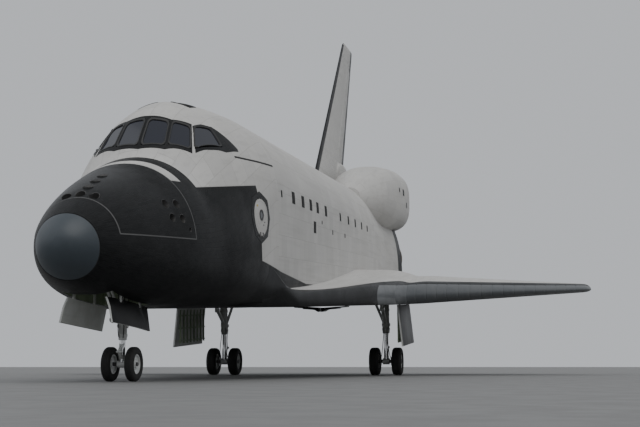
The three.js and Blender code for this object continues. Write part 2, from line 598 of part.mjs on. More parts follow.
function seat(y) {
  const z = 3090 + GAP;
  return union(
    box(5900, 6050, y - 180, y + 180, z, z + 300), box(5560, 6160, y - 250, y + 250, z + 260, z + 400),
    box(6080, 6220, y - 250, y + 250, z + 380, z + 1180), box(6070, 6210, y - 150, y + 150, z + 1170, z + 1400),
  );
}

// Payload bay: an open trough, with a pair of doors over it.
function midFuselage() {
  const trough = fuselage([CABIN_AFT + GAP, BAY_AFT]).intersect(box(0, 40000, -4000, 4000, -100, SILL_Z));
  const bay = bar(vec(CABIN_AFT + 260, 0, BAY_AXIS_Z), vec(BAY_AFT - 200, 0, BAY_AXIS_Z), BAY_RADIUS, BAY_RADIUS, 40);
  return trough.subtract(bay);
}

function bayDoor(side) {
  const [x0, x1] = [CABIN_AFT + 12, BAY_AFT - 4];
  const shell = fuselage([x0, x1]).subtract(fuselage([x0 - 50, x1 + 50], DOOR_THICKNESS));
  const [y0, y1] = side > 0 ? [5, 4000] : [-4000, -5];
  return shell.intersect(box(0, 40000, y0, y1, SILL_Z + GAP, 8000));
}

// Landing gear
const groundAt = (x) => MAIN_GEAR.groundZ - (x - MAIN_GEAR.x) * Math.tan(PARKED_PITCH);
const upright = vec(Math.sin(PARKED_PITCH), 0, Math.cos(PARKED_PITCH)); // straight up from the ground, in craft axes
const axleOf = ({ x, y, tyreRadius }) => vec(x, y, groundAt(x)).addScaledVector(upright, tyreRadius);
const along = (from, distance) => from.clone().addScaledVector(upright, distance);

function mainLeg() {
  const axle = axleOf(MAIN_GEAR);
  const trunnion = vec(23980, MAIN_GEAR.y, 450);
  const shift = (p, x, y, z) => vec(p.x + x, p.y + y, p.z + z);
  return union(
    bar(along(axle, 1150), trunnion, 165, 175, 12), // outer cylinder
    bar(axle, along(axle, 1200), 100, 100, 12), // piston
    bar(shift(axle, 0, -640, 0), shift(axle, 0, 640, 0), 70, 70, 12), // axle
    bar(vec(trunnion.x, MAIN_WELL.y0 + GAP, trunnion.z), vec(trunnion.x, MAIN_WELL.y1 - GAP, trunnion.z), 95, 95, 10),
    bar(along(axle, 1500), vec(22000, MAIN_GEAR.y, 500), 75, 75, 8), // drag brace
    bar(along(axle, 1350), shift(trunnion, 0, -560, 0), 60, 60, 8), // side brace
    bar(along(axle, 130), shift(along(axle, 560), 330, 0, 0), 48, 48, 6), // torque links
    bar(shift(along(axle, 560), 330, 0, 0), shift(along(axle, 1180), 60, 0, 0), 48, 48, 6),
  );
}

function noseLeg() {
  const axle = axleOf(NOSE_GEAR);
  const top = along(axle, 2050);
  const reach = NOSE_WELL.halfWidth - GAP;
  return union(
    bar(along(axle, 560), top, 105, 120, 14),
    bar(vec(top.x, -reach, top.z), vec(top.x, reach, top.z), 70, 70, 10),
    bar(along(axle, 900), vec(2350, 0, 880), 55, 55, 8),
    bar(vec(2350, -reach, 880), vec(2350, reach, 880), 50, 50, 8),
  );
}

function noseFork() {
  const axle = axleOf(NOSE_GEAR);
  const shift = (p, x, y, z) => vec(p.x + x, p.y + y, p.z + z);
  return union(
    bar(axle, along(axle, 560 - GAP), 72, 72, 16),
    bar(shift(axle, 0, -400, 0), shift(axle, 0, 400, 0), 45, 45, 14),
    bar(along(axle, 90), shift(along(axle, 300), -210, 0, 0), 30, 30, 6),
    bar(shift(along(axle, 300), -210, 0, 0), along(axle, 500), 30, 30, 6),
  );
}

// A wheel's part turned about y, standing on a flat facet that lies at its true radius.
function rolled(profile) {
  const grow = 1 / Math.cos(Math.PI / WHEEL_SIDES);
  const turn = THREE.MathUtils.radToDeg(Math.PI / WHEEL_SIDES + PARKED_PITCH);
  return turned(profile.map(([r, y]) => [r * grow, y]), WHEEL_SIDES).rotate([0, turn, 0]);
}

function tyre({ tyreRadius: r, tyreWidth: w }) {
  const bead = 0.56 * r;
  const [a, b] = [w / 2, w * 0.36];
  return rolled([[bead, -b], [bead * 1.2, -a], [r * 0.86, -a], [r, -a * 0.6], [r, a * 0.6], [r * 0.86, a],
    [bead * 1.2, a], [bead, b], [bead, -b]]);
}

function rim({ tyreRadius: r, tyreWidth: w }, bore) {
  const bead = 0.56 * r - GAP;
  const b = w * 0.36;
  return rolled([[bore, -b * 0.8], [bead * 0.6, -b * 0.3], [bead * 0.88, -b * 0.3], [bead, -b], [bead, b],
    [bead * 0.88, b * 0.3], [bead * 0.6, b * 0.3], [bore, b * 0.8], [bore, -b * 0.8]]);
}

// Gear doors: cut from the skin they close, then hung open at their outer edges.
function noseDoor(outer) {
  const { x0, x1, halfWidth } = NOSE_WELL;
  const inner = fuselage(NOSE_STATIONS.slice(4, 10), 45);
  const closed = outer.subtract(inner).intersect(box(x0 + 8, x1 - 8, 6, halfWidth - 8, -200, 700));
  const [front, back] = [vec(x0 + 8, halfWidth - 8, 330), vec(x1 - 8, halfWidth - 8, 70)];
  const arms = [0.25, 0.75].map((share) => {
    const { x, z } = front.clone().lerp(back, share);
    return box(x - 40, x + 40, halfWidth - 50, halfWidth - GAP, z - 80, z + 300);
  });
  return union(swung(closed, front, back.clone().sub(front).normalize(), 98), ...arms);
}

function mainDoor(wing) {
  const { x0, x1, y0, y1 } = MAIN_WELL;
  const closed = wing.intersect(box(x0 + 8, x1 - 8, y0 + 8, y1 - 8, -200, 60));
  const arms = [x0 + 600, x1 - 600].map((x) => box(x - 50, x + 50, y1 - 60, y1 - GAP, -60, 320));
  return union(swung(closed, vec(x0, y1 - 4, 0), vec(1, 0, 0), 96), ...arms);
}

// The scene graph
const orbiter = new THREE.Group();
const craft = new THREE.Group();
craft.rotation.y = -PARKED_PITCH;
orbiter.add(craft);

function add(name, solid, finish) {
  const mesh = new THREE.Mesh(geometryOf(solid), FINISH[finish]);
  mesh.name = name;
  craft.add(mesh);
  return mesh;
}

// Sets a solid that is turned about y at a place, pointing along a direction.
function addTurned(name, solid, finish, position, direction) {
  const mesh = add(name, solid, finish);
  mesh.position.copy(position);
  mesh.quaternion.setFromUnitVectors(vec(0, 1, 0), direction);
  return mesh;
}

const AFT_STATIONS = [BAY_AFT + GAP, 28300, 29500, 30600, 31700, BASE];
const noseLoft = fuselage([...NOSE_STATIONS, CABIN_AFT]);
const hullGrown = fuselage([...NOSE_STATIONS, CABIN_AFT, BAY_AFT, ...AFT_STATIONS, BASE + 1500], -0.4);
const upperBell = placed(engineRoomOf(MAIN_ENGINE, 50, 50, 24), vec(30709, 0, 4140), aim(16, 0));

add("nose_cap", noseLoft.intersect(capRegion(0)), "greyEdge");
add("forward_fuselage", forwardFuselage(noseLoft), "blackTile");
add("forward_thruster_module", noseLoft.intersect(moduleRegion(0)), "blackTile");
add("windshield_glazing", windshield(), "glazing");
add("overhead_glazing", overhead(), "glazing");
add("flight_deck", flightDeck(), "structure");
add("commander_seat", seat(-620), "fabric");
add("pilot_seat", seat(620), "fabric");
add("crew_hatch", crewHatch(noseLoft), "whiteTile");
add("mid_fuselage", midFuselage(), "whiteTile");
add("left_bay_door", bayDoor(-1), "whiteTile");
add("right_bay_door", bayDoor(1), "whiteTile");
add("aft_fuselage", aftFuselage(), "whiteTile");

const wholeWing = wingWithEdge().subtract(hullGrown);
const carbonEdge = wholeWing.intersect(edgeRegion(0));
const well = box(MAIN_WELL.x0, MAIN_WELL.x1, MAIN_WELL.y0, MAIN_WELL.y1, -500, MAIN_WELL.depth);
const wing = wholeWing
  .subtract(union(edgeRegion(-GAP), well, elevonSplit, ...Object.values(ELEVONS).map(elevonRoom)));
const podSocket = placed(engineRoomOf(POD_ENGINE, 45, GAP, 20), POD_ENGINE_AT, aim(15.8, 6.5));
const podShell = pod().subtract(union(hullGrown, upperBell, podSocket));
for (const [side, label] of [[-1, "left"], [1, "right"]]) {
  const place = (solid) => (side > 0 ? solid : mirrored(solid));
  const sided = (x, y, z) => vec(x, side * y, z);
  add(`${label}_wing`, place(wing), "blackTile");
  add(`${label}_leading_edge`, place(carbonEdge), "greyEdge");
  for (const [span, row] of Object.entries(ELEVONS)) add(`${label}_${span}_elevon`, place(elevon(row)), "blackTile");

  add(`${label}_pod`, place(podShell), "whiteTile");
  addTurned(`${label}_pod_engine`, engine(POD_ENGINE, 16), "nozzle", sided(...POD_ENGINE_AT.toArray()), aim(15.8, side * 6.5));

  add(`${label}_main_gear_door`, place(mainDoor(wholeWing)), "blackTile");
  add(`${label}_main_gear_leg`, place(mainLeg()), "gearPaint");
  for (const [offset, which] of [[-1, "inner"], [1, "outer"]]) {
    const axle = axleOf(MAIN_GEAR);
    const centre = sided(axle.x, axle.y + offset * MAIN_GEAR.halfSpacing, axle.z);
    addTurned(`${label}_main_tyre_${which}`, tyre(MAIN_GEAR), "rubber", centre, vec(0, 1, 0));
    addTurned(`${label}_main_wheel_${which}`, rim(MAIN_GEAR, 70.6), "gearPaint", centre, vec(0, 1, 0));
  }

  add(`${label}_nose_gear_door`, place(noseDoor(noseLoft)), "blackTile");
  const axle = axleOf(NOSE_GEAR);
  const centre = sided(axle.x, NOSE_GEAR.halfSpacing, axle.z);
  addTurned(`${label}_nose_tyre`, tyre(NOSE_GEAR), "rubber", centre, vec(0, 1, 0));
  addTurned(`${label}_nose_wheel`, rim(NOSE_GEAR, 45.6), "gearPaint", centre, vec(0, 1, 0));

  add(`${label}_umbilical_door`, place(umbilicalLid()), "blackTile");
  add(`${label}_rudder_panel`, rudderPanel(side), "whiteTile");
}
for (const [name, x, y, z, up, out] of ENGINES) addTurned(name, engine(MAIN_ENGINE, 18), "nozzle", vec(x, y, z), aim(up, out));

add("nose_gear_leg", noseLeg(), "gearPaint");
add("nose_gear_fork", noseFork(), "gearPaint");
const fin = union(finBlade(), chuteHousing()).subtract(union(rudderSpace(), hullGrown, upperBell));
add("fin", fin, "whiteTile");
const [shaftFoot, shaftTop] = [-25 + GAP, HINGE_LENGTH + 25 - GAP].map((s) => byHinge(s, 0, 0));
add("rudder_shaft", bar(shaftFoot, shaftTop, SHAFT_RADIUS, SHAFT_RADIUS, 24), "structure");

const flapNose = [1, 2, 3, 4, 5, 6, 7].map((i) => {
  const angle = -Math.PI / 2 - (Math.PI * i) / 8;
  return [FLAP_HINGE.x + FLAP_HINGE.radius * Math.cos(angle), FLAP_HINGE.z + FLAP_HINGE.radius * Math.sin(angle)];
});
const flapOutline = [
  [FLAP_HINGE.x, FLAP_HINGE.z + FLAP_HINGE.radius], [FLAP_HINGE.x + FLAP_HINGE.chord, FLAP_HINGE.z - 60],
  [FLAP_HINGE.x + FLAP_HINGE.chord, FLAP_HINGE.z - 110], [FLAP_HINGE.x, FLAP_HINGE.z - FLAP_HINGE.radius], ...flapNose,
];
const flapBlade = loft([-1, 1].map((side) => flapOutline.map(([x, z]) => vec(x, side * FLAP_HINGE.halfWidth, z))));
add("body_flap", flapBlade, "blackTile");

// Stand the craft on the ground, with the origin under the middle of its box.
orbiter.updateMatrixWorld(true);
const bounds = new THREE.Box3().setFromObject(orbiter, true);
craft.position.set(-(bounds.min.x + bounds.max.x) / 2, 0, -bounds.min.z);

export default orbiter;
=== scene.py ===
"""Looks of a winged space shuttle orbiter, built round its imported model.

Sizes are in metres. Most pieces are made in the craft's own axes: x runs aft from the nose tip,
y to starboard and z up from the belly. PARKED then leans the craft nose down on its wheels.
"""
import math

import bmesh
import bpy
from mathutils import Matrix, Vector


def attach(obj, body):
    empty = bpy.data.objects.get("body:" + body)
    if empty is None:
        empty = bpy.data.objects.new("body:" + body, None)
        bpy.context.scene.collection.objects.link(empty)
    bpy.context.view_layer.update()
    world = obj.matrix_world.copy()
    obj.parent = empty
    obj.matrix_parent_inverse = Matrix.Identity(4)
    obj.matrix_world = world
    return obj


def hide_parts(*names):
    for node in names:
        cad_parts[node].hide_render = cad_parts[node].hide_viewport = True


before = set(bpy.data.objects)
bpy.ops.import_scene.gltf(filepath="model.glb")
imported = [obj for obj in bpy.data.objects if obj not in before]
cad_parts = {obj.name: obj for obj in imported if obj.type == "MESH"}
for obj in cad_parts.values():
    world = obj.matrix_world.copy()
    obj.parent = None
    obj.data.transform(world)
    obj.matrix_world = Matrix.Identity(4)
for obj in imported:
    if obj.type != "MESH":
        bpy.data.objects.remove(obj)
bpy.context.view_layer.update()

# Where the craft stands
PARKED = Matrix.Translation((-18.12943, 0, 1.45887)) @ Matrix.Rotation(math.radians(-3.4), 4, "Y")
PARKED_PITCH = math.radians(3.4)

# Main sizes, in the craft's own axes
NOSE_CAP_END = 0.4
CABIN_AFT = 8.788
BAY_AFT = 27.076
BASE = 32.817
HALF_WIDTH = 2.591
HALF_SPAN = 11.887
BAY_RADIUS = 2.286
BAY_AXIS_Z = 3.048
SILL_Z = 3.48
DOOR_THICKNESS = 0.11
SKIN = 0.17
HATCH = {"x": 7.15, "z": 2.4, "radius": 0.508}
NOSE_WELL = {"x0": 1.5, "x1": 3.86, "half": 0.59, "top": 1.0}
ELEVON_HINGE_X = 29.235
ELEVONS = {"inboard": (3.66, 7.79), "outboard": (7.87, 11.68)}
FIN_ROOT_Z = 5.588
FIN_TIP_Z = 13.607
RUDDER_LOW = 7.569
RUDDER_HIGH = 12.7
SHAFT_RADIUS = 0.07
SIDES = (("left", -1), ("right", 1))


# Reading of tables
def reader(rows, column, scale=lambda v: v):
    """Smooth reading of one column of a table, with no overshoot."""
    xs = [scale(row[0]) for row in rows]
    ys = [row[column] for row in rows]
    slopes = [(ys[i + 1] - ys[i]) / (xs[i + 1] - xs[i]) for i in range(len(xs) - 1)]
    tangents = [slopes[0]]
    for a, b in zip(slopes, slopes[1:]):
        tangents.append(0 if a * b <= 0 else 2 * a * b / (a + b))
    tangents.append(slopes[-1])

    def read(at):
        s = scale(at)
        i = 0
        while i < len(xs) - 2 and xs[i + 1] <= s:
            i += 1
        h = xs[i + 1] - xs[i]
        t = min(1, max(0, (s - xs[i]) / h))
        t2, t3 = t * t, t * t * t
        return ((2 * t3 - 3 * t2 + 1) * ys[i] + (t3 - 2 * t2 + t) * h * tangents[i]
                + (3 * t2 - 2 * t3) * ys[i + 1] + (t3 - t2) * h * tangents[i + 1])

    return read


def signed_power(value, power):
    return math.copysign(abs(value) ** power, value)


def spread(a, b, count):
    """Evenly spaced numbers from a to b, both ends included."""
    return [a + (b - a) * i / (count - 1) for i in range(count)]


def smoothstep(v, low, high):
    t = min(1, max(0, (v - low) / (high - low)))
    return t * t * (3 - 2 * t)


# Fuselage cross-sections, each a pair of superellipse halves that meet at the widest height:
# station, half width, belly z, widest z, top z, lower power, upper power
FUSELAGE = [
    (0, 0, 1.45, 1.45, 1.45, 2.0, 2.0),
    (0.08, 0.33, 1.13, 1.45, 1.745, 2.0, 2.0),
    (0.3, 0.6, 0.85, 1.44, 2.01, 2.05, 2.0),
    (0.7, 0.87, 0.59, 1.425, 2.29, 2.15, 2.0),
    (1.6, 1.27, 0.34, 1.4, 2.76, 2.4, 2.05),
    (2.9, 1.68, 0.175, 1.41, 3.27, 2.8, 2.1),
    (4.15, 1.99, 0.09, 1.47, 3.68, 3.4, 2.1),
    (4.4, 2.04, 0.08, 1.49, 3.77, 3.6, 2.05),
    (4.9, 2.14, 0.062, 1.54, 4.4, 3.9, 1.9),
    (5.45, 2.27, 0.045, 1.65, 5.0, 4.3, 1.86),
    (6.1, 2.39, 0.03, 1.88, 5.38, 5.0, 1.86),
    (6.7, 2.47, 0.02, 2.15, 5.54, 6.0, 1.9),
    (7.9, 2.57, 0.005, 2.75, 5.61, 8.0, 2.02),
    (8.788, 2.591, 0, 3.048, 5.588, 10, 2.1),
    (27.076, 2.591, 0, 3.048, 5.588, 10, 2.1),
    (29.5, 2.72, 0, 2.4, 5.5, 8, 2.2),
    (32.817, 3.12, 0.06, 1.0, 5.3, 7, 2.6),
]
(half_width_at, belly_at, widest_at, top_at, low_power_at, top_power_at) = [
    reader(FUSELAGE, column, math.sqrt) for column in range(1, 7)]


def resampled(points, count):
    """Points spaced evenly by length along an open path of points."""
    lengths = [0]
    for a, b in zip(points, points[1:]):
        lengths.append(lengths[-1] + math.dist(a, b))
    made = []
    i = 0
    for want in spread(0, lengths[-1], count):
        while i < len(lengths) - 2 and lengths[i + 1] < want:
            i += 1
        step = lengths[i + 1] - lengths[i]
        t = 0 if step == 0 else (want - lengths[i]) / step
        made.append(tuple(p + (q - p) * t for p, q in zip(points[i], points[i + 1])))
    return made


QUADRANT = 34  # points on a quarter of a fuselage ring
FINE = 180  # steps that a quarter is first read in


def hull_quarter(x, inset, upper):
    """From the widest point of the starboard side to the middle of the roof or belly, as (y, z)."""
    half = max(0.002, half_width_at(x) - inset)
    widest = widest_at(x)
    if upper:
        reach, power, sign = top_at(x) - inset - widest, top_power_at(x), 1
    else:
        reach, power, sign = widest - belly_at(x) - inset, low_power_at(x), -1
    fine = []
    for i in range(FINE + 1):
        angle = math.pi / 2 * i / FINE
        fine.append((half * math.cos(angle) ** (2 / power), widest
                     + sign * reach * math.sin(angle) ** (2 / power)))
    fine[-1] = (0, widest + sign * reach)
    return resampled(fine, QUADRANT)


def hull_ring(x, inset=0):
    """A whole fuselage ring, from the starboard side over the roof."""
    upper = hull_quarter(x, inset, True)
    lower = hull_quarter(x, inset, False)
    over = upper + [(-y, z) for y, z in reversed(upper[:-1])]
    under = [(-y, z) for y, z in lower[1:]] + [(y, z) for y, z in reversed(lower[1:-1])]
    return [(x, y, z) for y, z in over + under]


def side_at(x, z):
    """Half width of the hull at a height."""
    widest = widest_at(x)
    if z >= widest:
        share, power = (z - widest) / (top_at(x) - widest), top_power_at(x)
    else:
        share, power = (widest - z) / (widest - belly_at(x)), low_power_at(x)
    return half_width_at(x) * max(0, 1 - min(1, share) ** power) ** (1 / power)


def roof_at(x, y):
    """Height of the hull's upper surface over a point of the plan."""
    power = top_power_at(x)
    share = min(1, abs(y) / half_width_at(x))
    return widest_at(x) + (top_at(x) - widest_at(x)) * (1 - share ** power) ** (1 / power)


def floor_at(x, y):
    """Height of the belly under a point of the plan."""
    power = low_power_at(x)
    share = min(1, abs(y) / half_width_at(x))
    return widest_at(x) - (widest_at(x) - belly_at(x)) * (1 - share ** power) ** (1 / power)


# Making of meshes, in the craft's own axes
def new_mesh(verts, faces):
    mesh = bpy.data.meshes.new("form")
    mesh.from_pydata(verts, [], faces)
    return mesh


def outwards(mesh):
    """Turns every face outwards."""
    form = bmesh.new()
    form.from_mesh(mesh)
    bmesh.ops.recalc_face_normals(form, faces=form.faces)
    form.to_mesh(mesh)
    form.free()
    return mesh


def girth(ring):
    """Distance round a closed ring at each of its points, and home."""
    out = [0]
    for a, b in zip(ring, ring[1:] + ring[:1]):
        out.append(out[-1] + math.dist(a, b))
    return out


def loft(rings, across=None, along=None):
    """A closed mesh through rings of one count of points, with UV in metres of surface."""
    count = len(rings[0])
    verts = [p for ring in rings for p in ring]
    places = [(i, j) for i in range(len(rings) - 1) for j in range(count)]
    corners = ((0, 0), (0, 1), (1, 1), (1, 0))
    faces = [tuple((i + di) * count + (j + dj) % count for di, dj in corners) for i, j in places]
    ends = [tuple(reversed(range(count))), tuple(range(len(verts) - count, len(verts)))]
    mesh = new_mesh(verts, faces + ends)
    across = across or girth(rings[len(rings) // 2])
    along = along or [ring[0][0] for ring in rings]
    coords = [v for i, j in places for di, dj in corners for v in (along[i + di], across[j + dj])]
    coords += [v for face in ends for p in face for v in (verts[p][1], verts[p][2])]
    mesh.uv_layers.new(name="surface").data.foreach_set("uv", coords)
    return outwards(mesh)


def hoop(loops):
    """A closed tube that runs round a set of loops, each one beside the next."""
    n, count = len(loops), len(loops[0])
    verts = [tuple(p) for loop in loops for p in loop]
    faces = []
    for i in range(n):
        for j in range(count):
            a, b, k = i * count, (i + 1) % n * count, (j + 1) % count
            faces.append((a + j, a + k, b + k, b + j))
    mesh = new_mesh(verts, faces)
    mesh.uv_layers.new(name="surface")
    return outwards(mesh)


def box(x0, x1, y0, y1, z0, z1):
    verts = [(x, y, z) for x in (x0, x1) for y in (y0, y1) for z in (z0, z1)]
    faces = [(0, 1, 3, 2), (4, 6, 7, 5), (0, 4, 5, 1), (2, 3, 7, 6), (0, 2, 6, 4), (1, 5, 7, 3)]
    return outwards(new_mesh(verts, faces))


def frame_along(direction):
    """Two directions square to one another and to the given one."""
    d = Vector(direction).normalized()
    side = d.cross(Vector((0, 0, 1)) if abs(d.z) < 0.9 else Vector((1, 0, 0))).normalized()
    return side, d.cross(side)


def circle(centre, u, v, radius, sides):
    """Points round a centre, in the plane of two directions."""
    turns = [2 * math.pi * k / sides for k in range(sides)]
    return [tuple(centre + (u * math.cos(a) + v * math.sin(a)) * radius) for a in turns]


def bar_rings(start, end, profile, sides=32):
    """Rings of a turned form along a line, from (distance, radius) pairs."""
    start, end = Vector(start), Vector(end)
    d = (end - start).normalized()
    u, v = frame_along(d)
    return [circle(start + d * distance, u, v, radius, sides) for distance, radius in profile]


def turned(start, end, profile, sides=32):
    """A solid turned round a line."""
    return loft(bar_rings(start, end, profile, sides), along=[p[0] for p in profile])


def rod(start, end, radius, sides=24, edge=0.012):
    """A round bar with eased ends."""
    length = math.dist(start, end)
    edge = min(edge, radius * 0.4, length * 0.3)
    profile = [(0, radius - edge), (edge, radius), (length - edge, radius), (length, radius - edge)]
    return turned(start, end, profile, sides)


def shifted(p, x=0, y=0, z=0):
    return Vector((p[0] + x, p[1] + y, p[2] + z))


def pin(at, half, radius, sides=24, edge=0.012):
    """A round bar across the craft, by its middle and half its length."""
    return rod(shifted(at, 0, -half), shifted(at, 0, half), radius, sides, edge)


def tube(points, radius, sides=10):
    """A round pipe through points."""
    rings = []
    u = None
    for i, p in enumerate(points):
        before, after = points[max(0, i - 1)], points[min(len(points) - 1, i + 1)]
        d = (Vector(after) - Vector(before)).normalized()
        if u is None:
            u, _ = frame_along(d)
        u = (u - d * u.dot(d)).normalized()
        rings.append(circle(Vector(p), u, d.cross(u), radius, sides))
    return loft(rings)


def joined(meshes):
    """One mesh from several, keeping their UVs and material numbers."""
    form = bmesh.new()
    for mesh in meshes:
        form.from_mesh(mesh)
        bpy.data.meshes.remove(mesh)
    made = bpy.data.meshes.new("form")
    form.to_mesh(made)
    form.free()
    return made


def sided(mesh, side):
    """A copy of a starboard mesh for its side of the craft, mirrored for port."""
    made = mesh.copy()
    if side < 0:
        made.transform(Matrix.Scale(-1, 4, (0, 1, 0)))
        made.flip_normals()
    return made


def bare(mesh):
    """Takes the materials off a mesh and keeps the numbers on its faces."""
    numbers = [0] * len(mesh.polygons)
    mesh.polygons.foreach_get("material_index", numbers)
    mesh.materials.clear()
    mesh.polygons.foreach_set("material_index", numbers)


BLANKS = [bpy.data.materials.new(f"blank_{number}") for number in range(6)]


def boolean(mesh, others, operation="DIFFERENCE", inside=0):
    """Cuts meshes from a mesh, or joins or intersects them. The cut faces get a material number."""
    for other in others:
        other.polygons.foreach_set("material_index", [inside] * len(other.polygons))
        for one in (mesh, other):
            bare(one)
            for blank in BLANKS:
                one.materials.append(blank)
        base, tool = bpy.data.objects.new("work", mesh), bpy.data.objects.new("tool", other)
        for thing in (base, tool):
            bpy.context.scene.collection.objects.link(thing)
        cut = base.modifiers.new("cut", "BOOLEAN")
        cut.operation = operation
        cut.solver = "EXACT"
        cut.object = tool
        graph = bpy.context.evaluated_depsgraph_get()
        made = bpy.data.meshes.new_from_object(base.evaluated_get(graph), depsgraph=graph)
        for thing in (base, tool):
            bpy.data.objects.remove(thing)
        for old in (mesh, other):
            bpy.data.meshes.remove(old)
        mesh = made
        bare(mesh)
    return mesh


def bevelled(mesh, width, segments=2, angle=40):
    """Eases the sharp edges of a mesh, once the triangles on its flat faces are merged."""
    form = bmesh.new()
    form.from_mesh(mesh)
    bmesh.ops.remove_doubles(form, verts=form.verts, dist=1e-5)
    bmesh.ops.dissolve_limit(form, angle_limit=math.radians(2), verts=form.verts, edges=form.edges)
    edges = [e for e in form.edges if len(e.link_faces) == 2 and e.calc_face_angle() > math.radians(angle)]
    bmesh.ops.bevel(form, geom=edges, offset=width, segments=segments, profile=0.6, affect="EDGES",
                    clamp_overlap=True)
    form.to_mesh(mesh)
    form.free()
    return mesh


def block(x0, x1, y0, y1, z0, z1, edge=0.01):
    """A block with eased edges."""
    return bevelled(box(x0, x1, y0, y1, z0, z1), edge)


def strip_on(surface, columns, rows, lift, depth):
    """A thin plate that follows a surface: surface(column, row) gives a point and the outward normal."""
    spots = [surface(c, r) for c in columns for r in rows]
    verts = [tuple(point + normal * lift) for point, normal in spots]
    verts += [tuple(point - normal * depth) for point, normal in spots]
    n, m = len(columns), len(rows)
    under = n * m
    faces = []
    for i in range(n - 1):
        for j in range(m - 1):
            a, b, c, d = i * m + j, i * m + j + 1, (i + 1) * m + j + 1, (i + 1) * m + j
            faces += [(a, b, c, d), (under + d, under + c, under + b, under + a)]
    rim = [i * m for i in range(n)] + [(n - 1) * m + j for j in range(1, m)]
    rim += [i * m + m - 1 for i in range(n - 2, -1, -1)] + list(range(m - 2, 0, -1))
    for a, b in zip(rim, rim[1:] + rim[:1]):
        faces.append((a, b, under + b, under + a))
    mesh = outwards(new_mesh(verts, faces))
    layer = mesh.uv_layers.new(name="surface")
    for loop in mesh.loops:
        x, y, z = mesh.vertices[loop.vertex_index].co
        layer.data[loop.index].uv = (x, y + z)
    return mesh


SLOPE_STEP = 0.01  # how far apart the hull is read for its slope


def slopes_of(height, a, b):
    """How fast a height changes along each of its two inputs."""
    step = SLOPE_STEP
    return ((height(a + step, b) - height(a - step, b)) / (2 * step),
            (height(a, b + step) - height(a, b - step)) / (2 * step))


def hull_point(x, z, side):
    """A point on the side of the hull, with its outward normal."""
    dx, dz = slopes_of(side_at, x, z)
    normal = Vector((-dx, 1, -dz)).normalized()
    return Vector((x, side_at(x, z) * side, z)), Vector((normal.x, normal.y * side, normal.z))


def roof_point(x, y):
    """A point on the roof of the hull, with its outward normal."""
    dx, dy = slopes_of(roof_at, x, y)
    return Vector((x, y, roof_at(x, y))), Vector((-dx, -dy, 1)).normalized()


def flank_strip(side, x0, x1, columns, z0, z1, rows, lift=0.003, depth=0.01):
    """A thin plate on the side of the hull between two stations and two heights."""
    return strip_on(lambda x, z: hull_point(x, z, side), spread(x0, x1, columns), spread(z0, z1, rows), lift,
                    depth)


def patch(x, z, width, height, side=-1, lift=0.003, depth=0.01):
    """A small plate on the side of the hull, by its middle."""
    return flank_strip(side, x - width / 2, x + width / 2, 4, z - height / 2, z + height / 2, 4, lift, depth)


def copied(node):
    """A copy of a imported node's mesh in the craft's own axes."""
    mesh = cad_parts[node].data.copy()
    mesh.materials.clear()
    mesh.transform(PARKED.inverted())
    return mesh


def show(name, form, materials, slot, body="airframe", nodes=(), smooth=35):
    """Sets a piece on its body. It is smooth but for edges sharper than the angle."""
    mesh = joined(form) if isinstance(form, list) else form
    piece = bpy.data.objects.new(name, mesh)
    bpy.context.scene.collection.objects.link(piece)
    mesh.transform(PARKED)
    for material in materials if isinstance(materials, list) else [materials]:
        mesh.materials.append(material)
    mesh.polygons.foreach_set("use_smooth", [True] * len(mesh.polygons))
    mesh.set_sharp_from_angle(angle=math.radians(smooth))
    mesh.update()
    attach(piece, body)
    if nodes:
        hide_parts(*nodes)
    return piece


def stand_in(name, form, materials, slot, body="airframe", smooth=30):
    """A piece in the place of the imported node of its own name."""
    return show(name, form, materials, slot, body, [name], smooth)


# Shader nodes
def feed(tree, made, values):
    """Sets or links the inputs of a node."""
    for key, value in values.items():
        if isinstance(value, bpy.types.NodeSocket):
            tree.links.new(value, made.inputs[key])
        else:
            made.inputs[key].default_value = value
    return made


def node(tree, kind, inputs=None, **settings):
    """A shader node with its settings, and its inputs set or linked."""
    made = tree.nodes.new("ShaderNode" + kind)
    for key, value in settings.items():
        setattr(made, key, value)
    return feed(tree, made, inputs or {})


def maths(tree, operation, a, b=0.0, clamp=False):
    """The result of a sum on values or sockets."""
    return node(tree, "Math", {0: a, 1: b}, operation=operation, use_clamp=clamp).outputs[0]


def product(tree, a, b):
    return maths(tree, "MULTIPLY", a, b)


def total(tree, a, b):
    return maths(tree, "ADD", a, b)


def stained(tree, base, mask, share, second):
    """A colour with a second one laid over it, by a share of a mask."""
    return mixed(tree, product(tree, mask, share), base, second)


def ramped(tree, value, low, high, to_low=0.0, to_high=1.0):
    """A value eased from one range to another."""
    return node(tree, "MapRange", {"Value": value, "From Min": low, "From Max": high, "To Min": to_low,
                                   "To Max": to_high}, interpolation_type="SMOOTHSTEP").outputs["Result"]


def mixed(tree, factor, a, b):
    return node(tree, "Mix", {0: factor, 6: a, 7: b}, data_type="RGBA").outputs[2]


def between(tree, factor, a, b):
    return node(tree, "Mix", {0: factor, 2: a, 3: b}, data_type="FLOAT").outputs[0]


def new_group(name, inputs, outputs):
    """An empty shader group with named sockets, and a way to link its outputs by name."""
    tree = bpy.data.node_groups.new(name, "ShaderNodeTree")
    for label, kind, default in inputs:
        socket = tree.interface.new_socket(label, in_out="INPUT", socket_type="NodeSocket" + kind)
        if default is not None:
            socket.default_value = default
    for label, kind in outputs:
        tree.interface.new_socket(label, in_out="OUTPUT", socket_type="NodeSocket" + kind)
    entry = tree.nodes.new("NodeGroupInput")
    leave = tree.nodes.new("NodeGroupOutput")

    def give(**made):
        feed(tree, leave, made)
        return tree

    return tree, entry.outputs, give


def placed(tree, group, **inputs):
    """The outputs of a shader group set in a material."""
    made = tree.nodes.new("ShaderNodeGroup")
    made.node_tree = group
    return feed(tree, made, inputs).outputs


